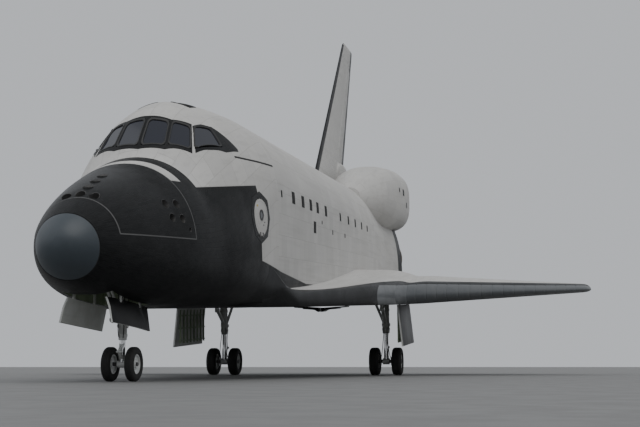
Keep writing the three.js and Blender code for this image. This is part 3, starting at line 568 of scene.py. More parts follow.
def craft_axes_group():
    """Turns an object place into metres along, across and up the craft."""
    tree, given, give = new_group("Craft axes", [("Place", "Vector", None)],
                                  [("Along", "Float"), ("Across", "Float"), ("Up", "Float"),
                                   ("Place", "Vector")])
    at = node(tree, "VectorMath", {0: given["Place"], 1: tuple(PARKED.translation)}, operation="SUBTRACT")
    turn = node(tree, "VectorRotate", {"Vector": at.outputs[0], "Angle": PARKED_PITCH},
                rotation_type="Y_AXIS")
    along, across, up = node(tree, "SeparateXYZ", {0: turn.outputs[0]}).outputs
    return give(Along=along, Across=across, Up=up, Place=turn.outputs[0])


BRICK_TONES = {"Color1": (0, 0, 0, 1), "Color2": (1, 1, 1, 1), "Mortar": (0.5, 0.5, 0.5, 1), "Bias": 0.0}


def bricks(tree, place, size, joint, smooth, stagger):
    """Square fields in rows, each with a tone of its own from black to white."""
    return node(tree, "TexBrick", {**BRICK_TONES, "Vector": place, "Scale": 1.0, "Mortar Size": joint,
                                   "Mortar Smooth": smooth, "Brick Width": size, "Row Height": size},
                offset=stagger).outputs


def tile_group():
    """Square tiles laid in rows: a tone for each tile and the joints between them."""
    tree, given, give = new_group(
        "Tile field", [("Place", "Vector", None), ("Size", "Float", 0.152), ("Joint", "Float", 0.004),
                       ("Turn", "Float", 0.0)],
        [("Tone", "Float"), ("Joint", "Float")])
    turn = node(tree, "VectorRotate", {"Vector": given["Place"], "Angle": given["Turn"]},
                rotation_type="Z_AXIS")
    tiles = bricks(tree, turn.outputs[0], given["Size"], given["Joint"], 0.3, 0.5)
    return give(Tone=tiles["Color"], Joint=tiles["Fac"])


def weather_group():
    """Soft blotches, streaks along the airflow and fine grain."""
    tree, given, give = new_group(
        "Weathering", [("Place", "Vector", None), ("Blotch", "Float", 0.8), ("Streak", "Float", 1.0)],
        [("Blotch", "Float"), ("Streak", "Float"), ("Grain", "Float")])
    place = given["Place"]
    soft = node(tree, "TexNoise", {"Vector": place, "Scale": given["Blotch"], "Detail": 6.0,
                                   "Roughness": 0.6})
    drawn = node(tree, "VectorMath", {0: place, 1: (0.25, 5.0, 5.0)}, operation="MULTIPLY")
    lines = node(tree, "TexNoise", {"Vector": drawn.outputs[0], "Scale": given["Streak"], "Detail": 4.0})
    fine = node(tree, "TexNoise", {"Vector": place, "Scale": 55.0, "Detail": 3.0})
    return give(Blotch=ramped(tree, soft.outputs[0], 0.35, 0.68),
                Streak=ramped(tree, lines.outputs[0], 0.45, 0.75), Grain=fine.outputs[0])


def quilt_group():
    """Blankets sewn in a grid: the sewn lines, the rise between them and the wider blanket edges."""
    tree, given, give = new_group(
        "Quilting", [("Place", "Vector", None), ("Stitch", "Float", 0.025), ("Blanket", "Float", 0.76)],
        [("Rise", "Float"), ("Edge", "Float"), ("Tone", "Float")])
    sewn = bricks(tree, given["Place"], given["Stitch"], 0.004, 1.0, 0.0)
    edges = bricks(tree, given["Place"], given["Blanket"], 0.006, 0.4, 0.5)
    return give(Rise=maths(tree, "SUBTRACT", 1.0, sewn["Fac"]), Edge=edges["Fac"], Tone=edges["Color"])


CHART = (40.0, 10.0)  # the station and the height at the far corner of the curve's square
# The lower edge of the white skin on the hull's side: station, height
WHITE_FROM = [
    (0.0, 9.0), (3.5, 9.0), (3.53, 3.05), (3.96, 3.05), (3.99, 9.0), (4.2, 9.0), (4.24, 2.94), (7.11, 3.25),
    (7.14, 1.25), (9.0, 1.0), (12.5, 0.7), (27.0, 0.62), (29.3, 0.9), (32.1, 1.3), (32.2, 9.0), (40.0, 9.0),
]


def zone_group():
    """Where the hull wears black tiles: 1 on them, 0 on the white skin, and the line between them."""
    tree, given, give = new_group("Black zone", [("Along", "Float", 0.0), ("Up", "Float", 0.0)],
                                  [("Black", "Float"), ("Line", "Float")])
    curve = node(tree, "FloatCurve", {"Value": maths(tree, "DIVIDE", given["Along"], CHART[0])})
    line = curve.mapping.curves[0]
    while len(line.points) < len(WHITE_FROM):
        line.points.new(0.5, 0.5)
    for point, (x, z) in zip(line.points, WHITE_FROM):
        point.location = (x / CHART[0], z / CHART[1])
        point.handle_type = "VECTOR"
    curve.mapping.update()
    above = maths(tree, "SUBTRACT", given["Up"], product(tree, curve.outputs[0], CHART[1]))
    return give(Black=ramped(tree, above, -0.008, 0.008, 1.0, 0.0),
                Line=ramped(tree, maths(tree, "ABSOLUTE", above), 0.0, 0.05, 1.0, 0.0))


AXES = craft_axes_group()
TILES = tile_group()
WEATHER = weather_group()
QUILT = quilt_group()
ZONE = zone_group()


def new_material(name, colour, roughness, metallic=0.0, **sockets):
    """A material with its Principled shader: the values that don't change go on the shader's sockets."""
    material = bpy.data.materials.new(name)
    material.use_nodes = True
    tree = material.node_tree
    shader = tree.nodes["Principled BSDF"]
    shader.inputs["Base Color"].default_value = colour
    shader.inputs["Roughness"].default_value = roughness
    shader.inputs["Metallic"].default_value = metallic
    for key, value in sockets.items():
        shader.inputs[key.replace("_", " ")].default_value = value
    material.diffuse_color = colour
    return material, tree, shader


def weathered(tree, blotch=0.8, streak=1.0):
    return placed(tree, WEATHER, Place=object_place(tree), Blotch=blotch, Streak=streak)


def object_place(tree):
    """Where a point lies on the parked craft."""
    return node(tree, "TexCoord").outputs["Object"]


def surface_place(tree):
    """Metres along and round the surface that a point lies on."""
    return node(tree, "UVMap", uv_map="surface").outputs["UV"]


def finish(tree, shader, colour, height, distance, roughness=None):
    """Links a shader's colour, its bump and, where it varies, its roughness."""
    bump = node(tree, "Bump", {"Height": height, "Distance": distance, "Strength": 1.0})
    feed(tree, shader, {"Base Color": colour, "Normal": bump.outputs[0]})
    if roughness:
        feed(tree, shader, {"Roughness": roughness})


def varied(tree, mask, span, low):
    """A roughness that rises with a mask."""
    return total(tree, product(tree, mask, span), low)


def grey(value):
    return (value, value, value, 1)


def tiled(name, dark, light, joint, size, roughness, turn=0.0, variation=1.0):
    """A field of tiles: the tone of each tile, joints, blotches and streaks."""
    material, tree, shader = new_material(name, dark, roughness, Specular_IOR_Level=0.2)
    weather = weathered(tree)
    tiles = placed(tree, TILES, Place=surface_place(tree), Size=size, Turn=turn)
    base = stained(tree, dark, tiles["Tone"], variation, light)
    base = stained(tree, base, weather["Blotch"], 0.35, light)
    base = stained(tree, base, weather["Streak"], 0.25, joint)
    base = mixed(tree, tiles["Joint"], base, joint)
    height = total(tree, product(tree, tiles["Joint"], -1.0), product(tree, weather["Grain"], 0.12))
    finish(tree, shader, base, height, 0.002, varied(tree, weather["Blotch"], 0.08, roughness - 0.03))
    return material


# The black tiles' tones, as base, lighter and darker: the real black, set darker still as painted shade.
SHADED_BLACK = ((0.005, 0.0055, 0.006, 1), (0.011, 0.0115, 0.012, 1), (0.002, 0.002, 0.002, 1))
# The white skin's tones, as base, lighter and darker: the real off-white, set darker as painted shade.
SHADED_WHITE = ((0.52, 0.512, 0.495, 1), (0.61, 0.60, 0.58, 1), (0.31, 0.305, 0.29, 1))


def skin_material():
    """The hull's skin: black tiles low down and on the nose, white tiles and felt above them."""
    material, tree, shader = new_material("hull_skin", SHADED_WHITE[0], 0.6, Specular_IOR_Level=0.2)
    axes = placed(tree, AXES, Place=object_place(tree))
    zone = placed(tree, ZONE, Along=axes["Along"], Up=axes["Up"])
    weather = placed(tree, WEATHER, Place=axes["Place"], Blotch=0.55, Streak=1.3)
    surface = surface_place(tree)
    small = placed(tree, TILES, Place=surface, Size=0.152, Joint=0.0035)
    large = placed(tree, QUILT, Place=surface, Stitch=0.05, Blanket=0.61)
    dark = mixed(tree, small["Joint"], mixed(tree, small["Tone"], SHADED_BLACK[0], SHADED_BLACK[1]), SHADED_BLACK[2])
    pale = SHADED_WHITE[0]
    for mask, share, second in ((large["Tone"], 0.6, SHADED_WHITE[1]), (large["Edge"], 0.55, SHADED_WHITE[2]),
                                (weather["Streak"], 0.22, SHADED_WHITE[2]),
                                (weather["Blotch"], 0.15, (0.50, 0.485, 0.45, 1)),
                                (zone["Line"], 0.25, SHADED_WHITE[2])):
        pale = stained(tree, pale, mask, share, second)
    black = zone["Black"]
    roughness = between(tree, black, varied(tree, weather["Blotch"], 0.12, 0.6),
                        varied(tree, weather["Blotch"], 0.2, 0.36))
    sunk = product(tree, between(tree, black, large["Edge"], small["Joint"]), -1.0)
    puffed = product(tree, large["Rise"], maths(tree, "SUBTRACT", 0.25, black, clamp=True))
    height = total(tree, total(tree, sunk, puffed), product(tree, weather["Grain"], 0.15))
    finish(tree, shader, mixed(tree, black, pale, dark), height, 0.002, roughness)
    return material


def felt_material():
    """Quilted white blankets, faintly stained along their edges."""
    material, tree, shader = new_material("white_felt", SHADED_WHITE[0], 0.72, Specular_IOR_Level=0.35)
    weather = weathered(tree, 0.5, 1.1)
    quilt = placed(tree, QUILT, Place=surface_place(tree), Stitch=0.05, Blanket=0.76)
    base = SHADED_WHITE[0]
    for mask, share, second in ((quilt["Tone"], 0.55, SHADED_WHITE[1]), (quilt["Edge"], 0.5, SHADED_WHITE[2]),
                                (weather["Streak"], 0.2, SHADED_WHITE[2]),
                                (weather["Blotch"], 0.15, (0.5, 0.48, 0.45, 1))):
        base = stained(tree, base, mask, share, second)
    rise = maths(tree, "SUBTRACT", product(tree, quilt["Rise"], 0.3), quilt["Edge"])
    height = total(tree, rise, product(tree, weather["Grain"], 0.2))
    finish(tree, shader, base, height, 0.002, varied(tree, weather["Blotch"], 0.1, 0.66))
    return material


def worn(name, colour, second, roughness, metallic=0.0, blotch=2.0, bump=0.0006, **sockets):
    """A plain finish with blotches of a second colour, streaks and a fine grain."""
    material, tree, shader = new_material(name, colour, roughness, metallic, **sockets)
    weather = weathered(tree, blotch, 2.0)
    base = stained(tree, colour, weather["Blotch"], 0.6, second)
    base = stained(tree, base, weather["Streak"], 0.35, second)
    rough = varied(tree, weather["Blotch"], 0.15, roughness - 0.05)
    finish(tree, shader, base, weather["Grain"], bump, rough)
    return material


def waves(tree, value, pitch):
    return maths(tree, "SINE", product(tree, value, 2 * math.pi / pitch))


def ringed_metal(name, colour, second, pitch, roughness=0.35, metallic=0.9):
    """Metal made of fine tubes side by side, read from the surface's own girth, with painted shade in the
    grooves between them.
    """
    material, tree, shader = new_material(name, colour, roughness, metallic)
    wave = waves(tree, node(tree, "SeparateXYZ", {0: surface_place(tree)}).outputs[1], pitch)
    weather = weathered(tree, 1.4, 2.0)
    base = mixed(tree, weather["Blotch"], colour, second)
    # Painted shade: the grooves between the tubes are darkened towards near black.
    base = mixed(tree, ramped(tree, wave, -1.0, -0.4, 0.6, 0.0), base, (0.02, 0.018, 0.016, 1))
    finish(tree, shader, base, wave, 0.004, varied(tree, weather["Blotch"], 0.2, roughness - 0.05))
    return material


def woven(name, colour, second, pitch=0.004):
    """A close weave for seat covers."""
    material, tree, shader = new_material(name, colour, 0.85, Sheen_Weight=0.2)
    place = object_place(tree)
    x, y, z = (waves(tree, part, pitch) for part in node(tree, "SeparateXYZ", {0: place}).outputs)
    cloth = product(tree, total(tree, x, y), z)
    weather = placed(tree, WEATHER, Place=place, Blotch=5.0, Streak=4.0)
    base = mixed(tree, ramped(tree, cloth, -1.0, 1.0, 0.0, 0.7), colour, second)
    finish(tree, shader, stained(tree, base, weather["Blotch"], 0.3, second), cloth, 0.0006)
    return material


SKIN_FINISH = skin_material()
FELT = felt_material()
BELLY_TILES = tiled("belly_tiles", *SHADED_BLACK, size=0.152, roughness=0.42, turn=math.pi / 4)
SIDE_TILES = tiled("side_tiles", *SHADED_BLACK, size=0.152, roughness=0.42)
WHITE_TILES = tiled("white_tiles", *SHADED_WHITE, size=0.2, roughness=0.6, variation=0.5)
CARBON = worn("grey_carbon", (0.031, 0.042, 0.052, 1), (0.045, 0.058, 0.07, 1), 0.4, blotch=0.7, bump=0.0003,
              Coat_Weight=0.2, Coat_Roughness=0.35)
WARM_CARBON = worn("edge_carbon", (0.075, 0.082, 0.088, 1), (0.11, 0.115, 0.118, 1), 0.34, blotch=0.9,
                   bump=0.0003, Coat_Weight=0.25, Coat_Roughness=0.25)
GAP_SEAL = worn("gap_seal", grey(0.012), grey(0.03), 0.8)
FILLER = worn("grey_filler", grey(0.08), grey(0.12), 0.7)
FRAME_BLACK = worn("window_frame", grey(0.015), grey(0.03), 0.5)
PANE = new_material("pane_glass", (0.012, 0.014, 0.024, 1), 0.06, Coat_Weight=0.15, Coat_Roughness=0.03)[0]
STRUCTURE = worn("grey_structure", (0.33, 0.345, 0.35, 1), (0.24, 0.25, 0.25, 1), 0.5, 0.35)
LINER = worn("bay_liner", (0.62, 0.63, 0.61, 1), (0.48, 0.49, 0.46, 1), 0.75, bump=0.002)
RADIATOR = worn("radiator_silver", (0.62, 0.63, 0.64, 1), (0.5, 0.51, 0.52, 1), 0.22, 0.85)
BELL = ringed_metal("bell_tubes", (0.24, 0.20, 0.17, 1), (0.14, 0.115, 0.10, 1), 0.028)
BELL_INSIDE = ringed_metal("bell_inside", (0.16, 0.14, 0.125, 1), (0.09, 0.08, 0.075, 1), 0.02, 0.45, 0.7)
HOOP = worn("bell_hoop", (0.36, 0.31, 0.26, 1), (0.2, 0.17, 0.15, 1), 0.32, 0.9)
POD_BELL = worn("pod_bell", (0.19, 0.175, 0.17, 1), (0.1, 0.09, 0.085, 1), 0.38, 0.8)
BLANKET = worn("heat_blanket", (0.06, 0.058, 0.055, 1), (0.12, 0.115, 0.105, 1), 0.85, bump=0.006)
GEAR_WHITE = worn("gear_paint", (0.64, 0.65, 0.64, 1), (0.42, 0.42, 0.40, 1), 0.36, 0.05, Coat_Weight=0.2)
CHROME = worn("polished_steel", (0.62, 0.62, 0.62, 1), (0.45, 0.45, 0.45, 1), 0.15, 1.0)
DARK_METAL = worn("dark_metal", (0.09, 0.09, 0.09, 1), (0.16, 0.155, 0.15, 1), 0.45, 0.7)
RUBBER = worn("tyre_rubber", (0.014, 0.014, 0.014, 1), (0.035, 0.034, 0.032, 1), 0.82, bump=0.0015)
HOSE = worn("hose_black", grey(0.02), grey(0.05), 0.6)
PRIMER = worn("green_primer", (0.30, 0.36, 0.24, 1), (0.2, 0.24, 0.17, 1), 0.6)
YELLOW = worn("yellow_mark", (0.55, 0.42, 0.04, 1), (0.4, 0.3, 0.05, 1), 0.5)
SEAT_CLOTH = woven("seat_cloth", (0.05, 0.058, 0.075, 1), (0.09, 0.1, 0.12, 1))
SCREEN = new_material("dark_screen", (0.01, 0.014, 0.02, 1), 0.1, Coat_Weight=0.5, Coat_Roughness=0.05)[0]


# Windows, as corners in plan, x then y, that project straight on to the roof
WINDOWS = {
    "front": [(4.68, 0.045), (4.77, 0.64), (5.35, 0.57), (5.30, 0.045)],
    "middle": [(4.81, 0.71), (5.06, 1.23), (5.61, 1.05), (5.40, 0.64)],
    "side": [(5.15, 1.30), (6.13, 1.74), (6.24, 1.39), (5.70, 1.10)],
    "overhead": [(6.5, 0.2), (6.5, 0.74), (7.06, 0.74), (7.06, 0.2)],
}
# The section of a window's frame, as a share of the window's size and a height over its plane
FRAME_PROFILE = ((1.05, -0.05), (1.05, 0.006), (1.035, 0.012), (0.93, 0.008), (0.9, -0.012), (0.9, -0.05))
MODULE = (0.96, 3.56, 1.64)  # front, back and lower edge of the nose's thruster module
CAP_LEAN = {"slope": 0.154, "pivot": 1.85, "reach": 1.3}  # the nose cap's edge leans back below


def leaning_rings(stations, inset):
    """Hull rings that lean as the nose cap's edge does, and stand upright behind it."""
    reach, steps = CAP_LEAN["reach"], 60
    grid_end = reach * 1.3
    grid = [hull_ring(grid_end * (k / steps) ** 2, inset) for k in range(1, steps + 1)]
    rings = []
    for x in stations:
        share = x / NOSE_CAP_END if x < NOSE_CAP_END else 1 - smoothstep(x, NOSE_CAP_END + 0.05, reach)
        lean = CAP_LEAN["slope"] * share
        ring = []
        for j, (_, _, height) in enumerate(hull_ring(x, inset)):
            at = x + lean * (CAP_LEAN["pivot"] - height)
            place = max(0.0, math.sqrt(at / grid_end) * steps - 1)
            i = min(int(place), steps - 2)
            (_, y0, z0), (_, y1, z1) = grid[i][j], grid[i + 1][j]
            t = place - i
            ring.append((at, y0 + (y1 - y0) * t, z0 + (z1 - z0) * t))
        rings.append(ring)
    return rings


def hull_mesh(x0, x1, count, inset=0):
    """A closed length of hull, with its stations closer together towards the nose."""
    stations = [s * s for s in spread(math.sqrt(x0), math.sqrt(x1), count)]
    reach = CAP_LEAN["reach"]
    rings = leaning_rings([x for x in stations if x < reach], inset) if x0 < reach else []
    rings += [hull_ring(x, inset) for x in stations if x >= reach]
    return loft(rings, across=girth(hull_ring(max(x0, 8.0))))


def cabin_mesh():
    """The room inside the cabin walls, above the floor."""
    rings = []
    for x in spread(3.9, 8.56, 22):
        rings.append([(px, y, max(1.15, z)) for px, y, z in hull_ring(x, SKIN)])
    return loft(rings)


def window_plane(corners, side):
    """A window's corners on the roof, their middle and the outward normal."""
    points = [Vector((x, side * y, roof_at(x, y))) for x, y in corners]
    normal = (points[2] - points[0]).cross(points[3] - points[1]).normalized()
    if normal.z < 0:
        normal.negate()
    return points, sum(points, Vector()) / 4, normal


def window_prisms():
    """Prisms square to the windows, that cut their holes through the skin."""
    prisms = []
    for corners in WINDOWS.values():
        for side in (-1, 1):
            points, _, normal = window_plane(corners, side)
            prisms.append(loft([[tuple(p + normal * reach) for p in points] for reach in (-0.42, 0.26)]))
    return joined(prisms)


# Thrusters in the nose's flanks: station, height, upward lean, mouth radius
SIDE_THRUSTERS = [(2.72, 2.42, 0.1, 0.12), (3.12, 2.44, 0.1, 0.12), (2.76, 2.1, -0.3, 0.11),
                  (3.14, 2.1, -0.3, 0.11), (3.36, 1.86, -0.5, 0.055)]


def nose_thrusters():
    """Place, direction and mouth radius of each thruster of the nose."""
    rows = []
    for x in (1.55, 1.95, 2.35):
        rows.append(((x, 0.0, roof_at(x, 0)), (-0.1, 0, 1), 0.13))
    for side in (-1, 1):
        for x, z, lean, radius in SIDE_THRUSTERS:
            point, normal = hull_point(x, z, side)
            rows.append((tuple(point), tuple(normal * 0.8 + Vector((0, side, lean)) * 0.2), radius))
    for y in (-0.32, 0.0, 0.32):
        rows.append(((1.12, y, roof_at(1.12, y)), (-0.75, 0, 0.65), 0.12))
    return rows


def thruster_cutters(rows):
    """Cones that cut the mouths of the thrusters."""
    cones = []
    for at, direction, radius in rows:
        at, d = Vector(at), Vector(direction).normalized()
        profile = [(0, radius * 0.35), (0.22, radius * 0.92), (0.5, radius * 1.2)]
        cones.append(turned(at - d * 0.26, at + d, profile, 28))
    return joined(cones)


def thruster_rims(rows):
    """A thin ring round the mouth of each thruster."""
    rims = []
    for at, direction, radius in rows:
        at, d = Vector(at), Vector(direction).normalized()
        profile = [(0, radius * 0.62), (0.02, radius * 0.7), (0.19, radius + 0.004), (0.19, radius - 0.006),
                   (0.02, radius * 0.66)]
        rims.append(loft(bar_rings(at - d * 0.2, at + d, profile, 28)))
    return joined(rims)


def build_nose():
    """The nose cap, the cabin's shell with its holes, and the thruster module."""
    cap = hull_mesh(0.006, NOSE_CAP_END - 0.012, 22)
    stand_in("nose_cap", cap, CARBON, "grey_carbon", smooth=60)
    seam = hull_mesh(NOSE_CAP_END - 0.03, NOSE_CAP_END + 0.05, 3, 0.012)
    show("nose_cap_seal", seam, GAP_SEAL, "grey_carbon")

    body = hull_mesh(NOSE_CAP_END + 0.012, CABIN_AFT, 76)
    half = NOSE_WELL["half"]
    well = box(NOSE_WELL["x0"], NOSE_WELL["x1"], -half, half, -0.5, NOSE_WELL["top"])
    hatch_hole = turned((HATCH["x"], -3.2, HATCH["z"]), (HATCH["x"], -1.7, HATCH["z"]),
                        [(0, HATCH["radius"]), (1.5, HATCH["radius"])], 64)
    front, back, low = MODULE
    body = boolean(body, [cabin_mesh(), well], inside=1)
    body = boolean(body, [window_prisms(), hatch_hole], inside=2)
    body = boolean(body, [box(front, back, -2.5, 2.5, low, 5)], inside=2)
    stand_in("forward_fuselage", body, [SKIN_FINISH, PRIMER, FRAME_BLACK], "black_tile")

    keep = box(front + 0.006, back - 0.006, -2.5, 2.5, low + 0.006, 5)
    module = boolean(hull_mesh(front - 0.3, back + 0.3, 44), [keep], "INTERSECT", inside=2)
    rows = nose_thrusters()
    module = boolean(module, [thruster_cutters(rows)], inside=3)
    stand_in("forward_thruster_module", module, [SKIN_FINISH, PRIMER, FRAME_BLACK, DARK_METAL], "black_tile")
    show("cabin_dark_lines", [cabin_dark_line(side) for side in (-1, 1)], GAP_SEAL, "structure")
    show("thruster_rims", thruster_rims(rows), DARK_METAL, "nozzle")
    show("module_outline", module_outline(), FILLER, "structure")


def cabin_dark_line(side):
    """A thin dark strip high on the cabin's flank."""
    return flank_strip(side, 6.45, 8.7, 40, 3.925, 3.975, 2)


def module_outline():
    """A pale line of filler that follows the module's edges on the skin."""
    front, back, low = MODULE
    half = 0.014
    strips = [flank_strip(side, front, back, 24, low - half, low + half, 2) for side in (-1, 1)]
    for x in (front, back):
        high = widest_at(x) + (top_at(x) - widest_at(x)) * 0.8
        strips += [flank_strip(side, x - half, x + half, 2, low, high, 16) for side in (-1, 1)]
        reach = side_at(x, high)
        strips.append(strip_on(roof_point, [x - half, x + half], spread(-reach, reach, 20), 0.003, 0.01))
    return joined(strips)


def window_parts(corners, side):
    """The frame round a window, and its pane a little below the skin."""
    points, middle, normal = window_plane(corners, side)

    def loop(scale, depth):
        """The window's outline on the roof, scaled and lifted, with its corners drawn in."""
        shape = []
        for a, b in zip(points, points[1:] + points[:1]):
            for t in spread(0, 1, 9)[:-1]:
                flat = a.lerp(b, t)
                at = Vector((flat.x, flat.y, roof_at(flat.x, flat.y)))
                shape.append(middle + (at - middle) * scale + normal * depth)
        out = list(shape)
        for corner in range(0, len(shape), len(shape) // 4):
            out[corner] = shape[corner].lerp((shape[corner - 1] + shape[corner + 1]) / 2, 0.75)
        return [tuple(p) for p in out]

    pane = [loop(0.91, depth) for depth in (-0.045, -0.018)]
    return hoop([loop(*row) for row in FRAME_PROFILE]), loft(pane)


# The black tiles round the front and side windows, as columns with their lower and upper ends in plan
FRONT_MASK = [((4.60, 0.0), (5.385, 0.0)), ((4.69, 0.665), (5.43, 0.6)), ((5.005, 1.285), (5.70, 1.045))]
SIDE_MASK = [((5.085, 1.345), (5.665, 1.075)), ((5.62, 1.605), (5.99, 1.2)), ((6.16, 1.83), (6.32, 1.38)),
             ((6.8, 1.985), (6.83, 1.95))]


def roof_plate(columns, across, lift=0.004, depth=0.02):
    """A thin plate on the roof between columns of plan points."""
    def surface(c, r):
        i = min(int(c), len(columns) - 2)
        t = c - i
        (ax, ay), (bx, by) = (
            (a[0] + (b[0] - a[0]) * t, a[1] + (b[1] - a[1]) * t) for a, b in zip(columns[i], columns[i + 1]))
        return roof_point(ax + (bx - ax) * r, ay + (by - ay) * r)

    return strip_on(surface, spread(0, len(columns) - 1, across), spread(0, 1, 13), lift, depth)


def window_masks():
    """Black tiles round the windows, with the windows cut out of them."""
    port = [tuple((x, -y) for x, y in column) for column in FRONT_MASK[:0:-1]]
    plates = [roof_plate(port + FRONT_MASK, 49)]
    for side in (-1, 1):
        plates.append(roof_plate([tuple((x, side * y) for x, y in column) for column in SIDE_MASK], 31))
    return boolean(joined(plates), [window_prisms()])


def build_windows():
    frames, panes, roof_panes = [], [], []
    for label, corners in WINDOWS.items():
        for side in (-1, 1):
            frame_mesh, glass = window_parts(corners, side)
            frames.append(frame_mesh)
            (roof_panes if label == "overhead" else panes).append(glass)
    show("window_masks", window_masks(), SIDE_TILES, "black_tile", smooth=30)
    show("window_frames", frames, FRAME_BLACK, "black_tile", smooth=40)
    show("windshield_panes", panes, PANE, "glazing", nodes=["windshield_glazing"], smooth=50)
    show("overhead_panes", roof_panes, PANE, "glazing", nodes=["overhead_glazing"], smooth=50)


def polar_loop(x, z, side, radius, lift, sides, corners=0):
    """A closed line on the hull's side, round or with a few blunt corners, lifted off the skin."""
    loop = []
    for i in range(sides):
        a = 2 * math.pi * i / sides
        reach = radius
        if corners:
            part = math.pi / corners
            reach *= math.cos(part) / math.cos(a % (2 * part) - part)
        point, normal = hull_point(x + reach * math.cos(a), z + reach * math.sin(a), side)
        loop.append(tuple(point + normal * lift))
    return loop


def polar_disc(x, z, side, radius, lift, depth, sides=72):
    """A round plate that follows the hull's side."""
    rings = [polar_loop(x, z, side, radius, -depth, sides)]
    rings += [polar_loop(x, z, side, radius * share, lift, sides) for share in (1.0, 0.8, 0.55, 0.3, 0.1)]
    return loft(rings)


def polar_ring(x, z, side, outer, inner, lift, depth, sides=72, corners=0):
    """A flat ring that follows the hull's side."""
    return hoop([polar_loop(x, z, side, outer, -depth, sides, corners),
                 polar_loop(x, z, side, outer, lift, sides, corners),
                 polar_loop(x, z, side, inner, lift, sides), polar_loop(x, z, side, inner, -depth, sides)])


def build_hatch():
    """The round crew hatch with its rim, window, knuckles and marks, and the tiles round it."""
    x, z, radius = HATCH["x"], HATCH["z"], HATCH["radius"]
    plate = bevelled(polar_disc(x, z, -1, radius - 0.014, 0.0, 0.11), 0.006, 2, 60)
    ring = polar_ring(x, z, -1, radius - 0.02, radius - 0.07, 0.004, 0.02)
    window = polar_disc(x, z + 0.06, -1, 0.1, 0.002, 0.02, 40)
    window_ring = polar_ring(x, z + 0.06, -1, 0.15, 0.096, 0.008, 0.02, 40)
    studs = []
    keep = box(x - 0.17, x + 0.17, -3.2, -2.2, z - radius - 0.05, z - radius + 0.115)
    knuckles = boolean(copied("crew_hatch"), [keep], "INTERSECT")
    for dx, dz in ((0.16, -0.2), (0.24, -0.12)):
        point, normal = hull_point(x + dx, z + dz, -1)
        studs.append(rod(tuple(point - normal * 0.01), tuple(point + normal * 0.012), 0.018, 16))
    stand_in("crew_hatch", plate, FELT, "white_tile", "crew_hatch", smooth=40)
    show("hatch_rim", ring, WHITE_TILES, "white_tile", "crew_hatch")
    show("hatch_window", window, PANE, "glazing", "crew_hatch")
    show("hatch_window_ring", window_ring, FRAME_BLACK, "black_tile", "crew_hatch")
    show("hatch_knuckles", [knuckles] + studs, DARK_METAL, "structure", "crew_hatch")
    tiles = polar_ring(x, z, -1, radius + 0.19, radius + 0.004, 0.004, 0.03, corners=8)
    show("hatch_black_ring", tiles, SIDE_TILES, "black_tile")
    show("hatch_arrow_plate", patch(x - 0.25, z + 0.3, 0.075, 0.05), YELLOW, "white_tile", "crew_hatch")



# Payload bay and its doors
JOINT = 0.0003  # gap between the lengths of hull
BAY_ROOM = (CABIN_AFT + 0.3, BAY_AFT - 0.24)  # the stations that long pieces in the bay reach
FRAME_PITCH = 1.41  # from one frame in the bay to the next
DOOR_START = CABIN_AFT + 0.012
DOOR_END = BAY_AFT - 0.004
DOOR_PANELS = 5


def build_mid():
    """The middle of the hull, open above, with what lines its bay."""
    body = hull_mesh(CABIN_AFT + JOINT, BAY_AFT, 40)
    lid = box(0, 40, -4, 4, SILL_Z, 8)
    bore = turned((CABIN_AFT + 0.26, 0, BAY_AXIS_Z), (BAY_AFT - 0.2, 0, BAY_AXIS_Z),
                  [(0, BAY_RADIUS), (BAY_AFT - CABIN_AFT - 0.46, BAY_RADIUS)], 96)
    body = boolean(body, [lid, bore], inside=1)
    stand_in("mid_fuselage", body, [SKIN_FINISH, LINER], "white_tile")
    show("bay_frames", bay_frames(), STRUCTURE, "structure")
    show("bay_trays", bay_trays(), RADIATOR, "structure")
    show("side_vents", side_vents(), GAP_SEAL, "black_tile")


def arc_band(x0, x1, radius, depth, angles):
    """A band inside the bay that follows its round wall."""
    rings = []
    for a in angles:
        c, s = math.cos(a), math.sin(a)
        outer = (radius * c, BAY_AXIS_Z + radius * s)
        inner = ((radius - depth) * c, BAY_AXIS_Z + (radius - depth) * s)
        rings.append([(x0, *outer), (x1, *outer), (x1, *inner), (x0, *inner)])
    return loft(rings)


def bay_frames():
    """Capped frames round the bay, longerons along its sides and a keel."""
    made = []
    angles = [math.radians(a) for a in spread(184, 356, 40)]
    x = CABIN_AFT + 0.75
    while x < BAY_AFT - 0.5:
        made.append(arc_band(x - 0.035, x + 0.035, BAY_RADIUS + 0.004, 0.09, angles))
        made.append(arc_band(x - 0.07, x + 0.07, BAY_RADIUS - 0.07, 0.012, angles))
        x += FRAME_PITCH
    for side in (-1, 1):
        y = side * 2.2
        made.append(block(*BAY_ROOM, y - 0.09, y + 0.05, 3.22, 3.4))
    made.append(block(*BAY_ROOM, -0.09, 0.09, 0.76, 0.86))
    return joined(made)


def bay_trays():
    """Silver cable trays and pipes along the bay's corners."""
    made = []
    for side in (-1, 1):
        made.append(block(*BAY_ROOM, side * 1.5 - 0.16, side * 1.5 + 0.16, 1.3, 1.42))
        for y, z, radius in ((1.98, 2.1, 0.035), (2.04, 2.3, 0.025), (1.9, 1.92, 0.02)):
            made.append(rod((CABIN_AFT + 0.28, side * y, z), (BAY_AFT - 0.22, side * y, z), radius, 12))
        x = CABIN_AFT + 1.4
        while x < BAY_AFT - 1:
            made.append(block(x, x + 0.5, side * 1.98 - 0.12, side * 1.98 + 0.1, 2.42, 2.72))
            x += 2 * FRAME_PITCH
    return joined(made)


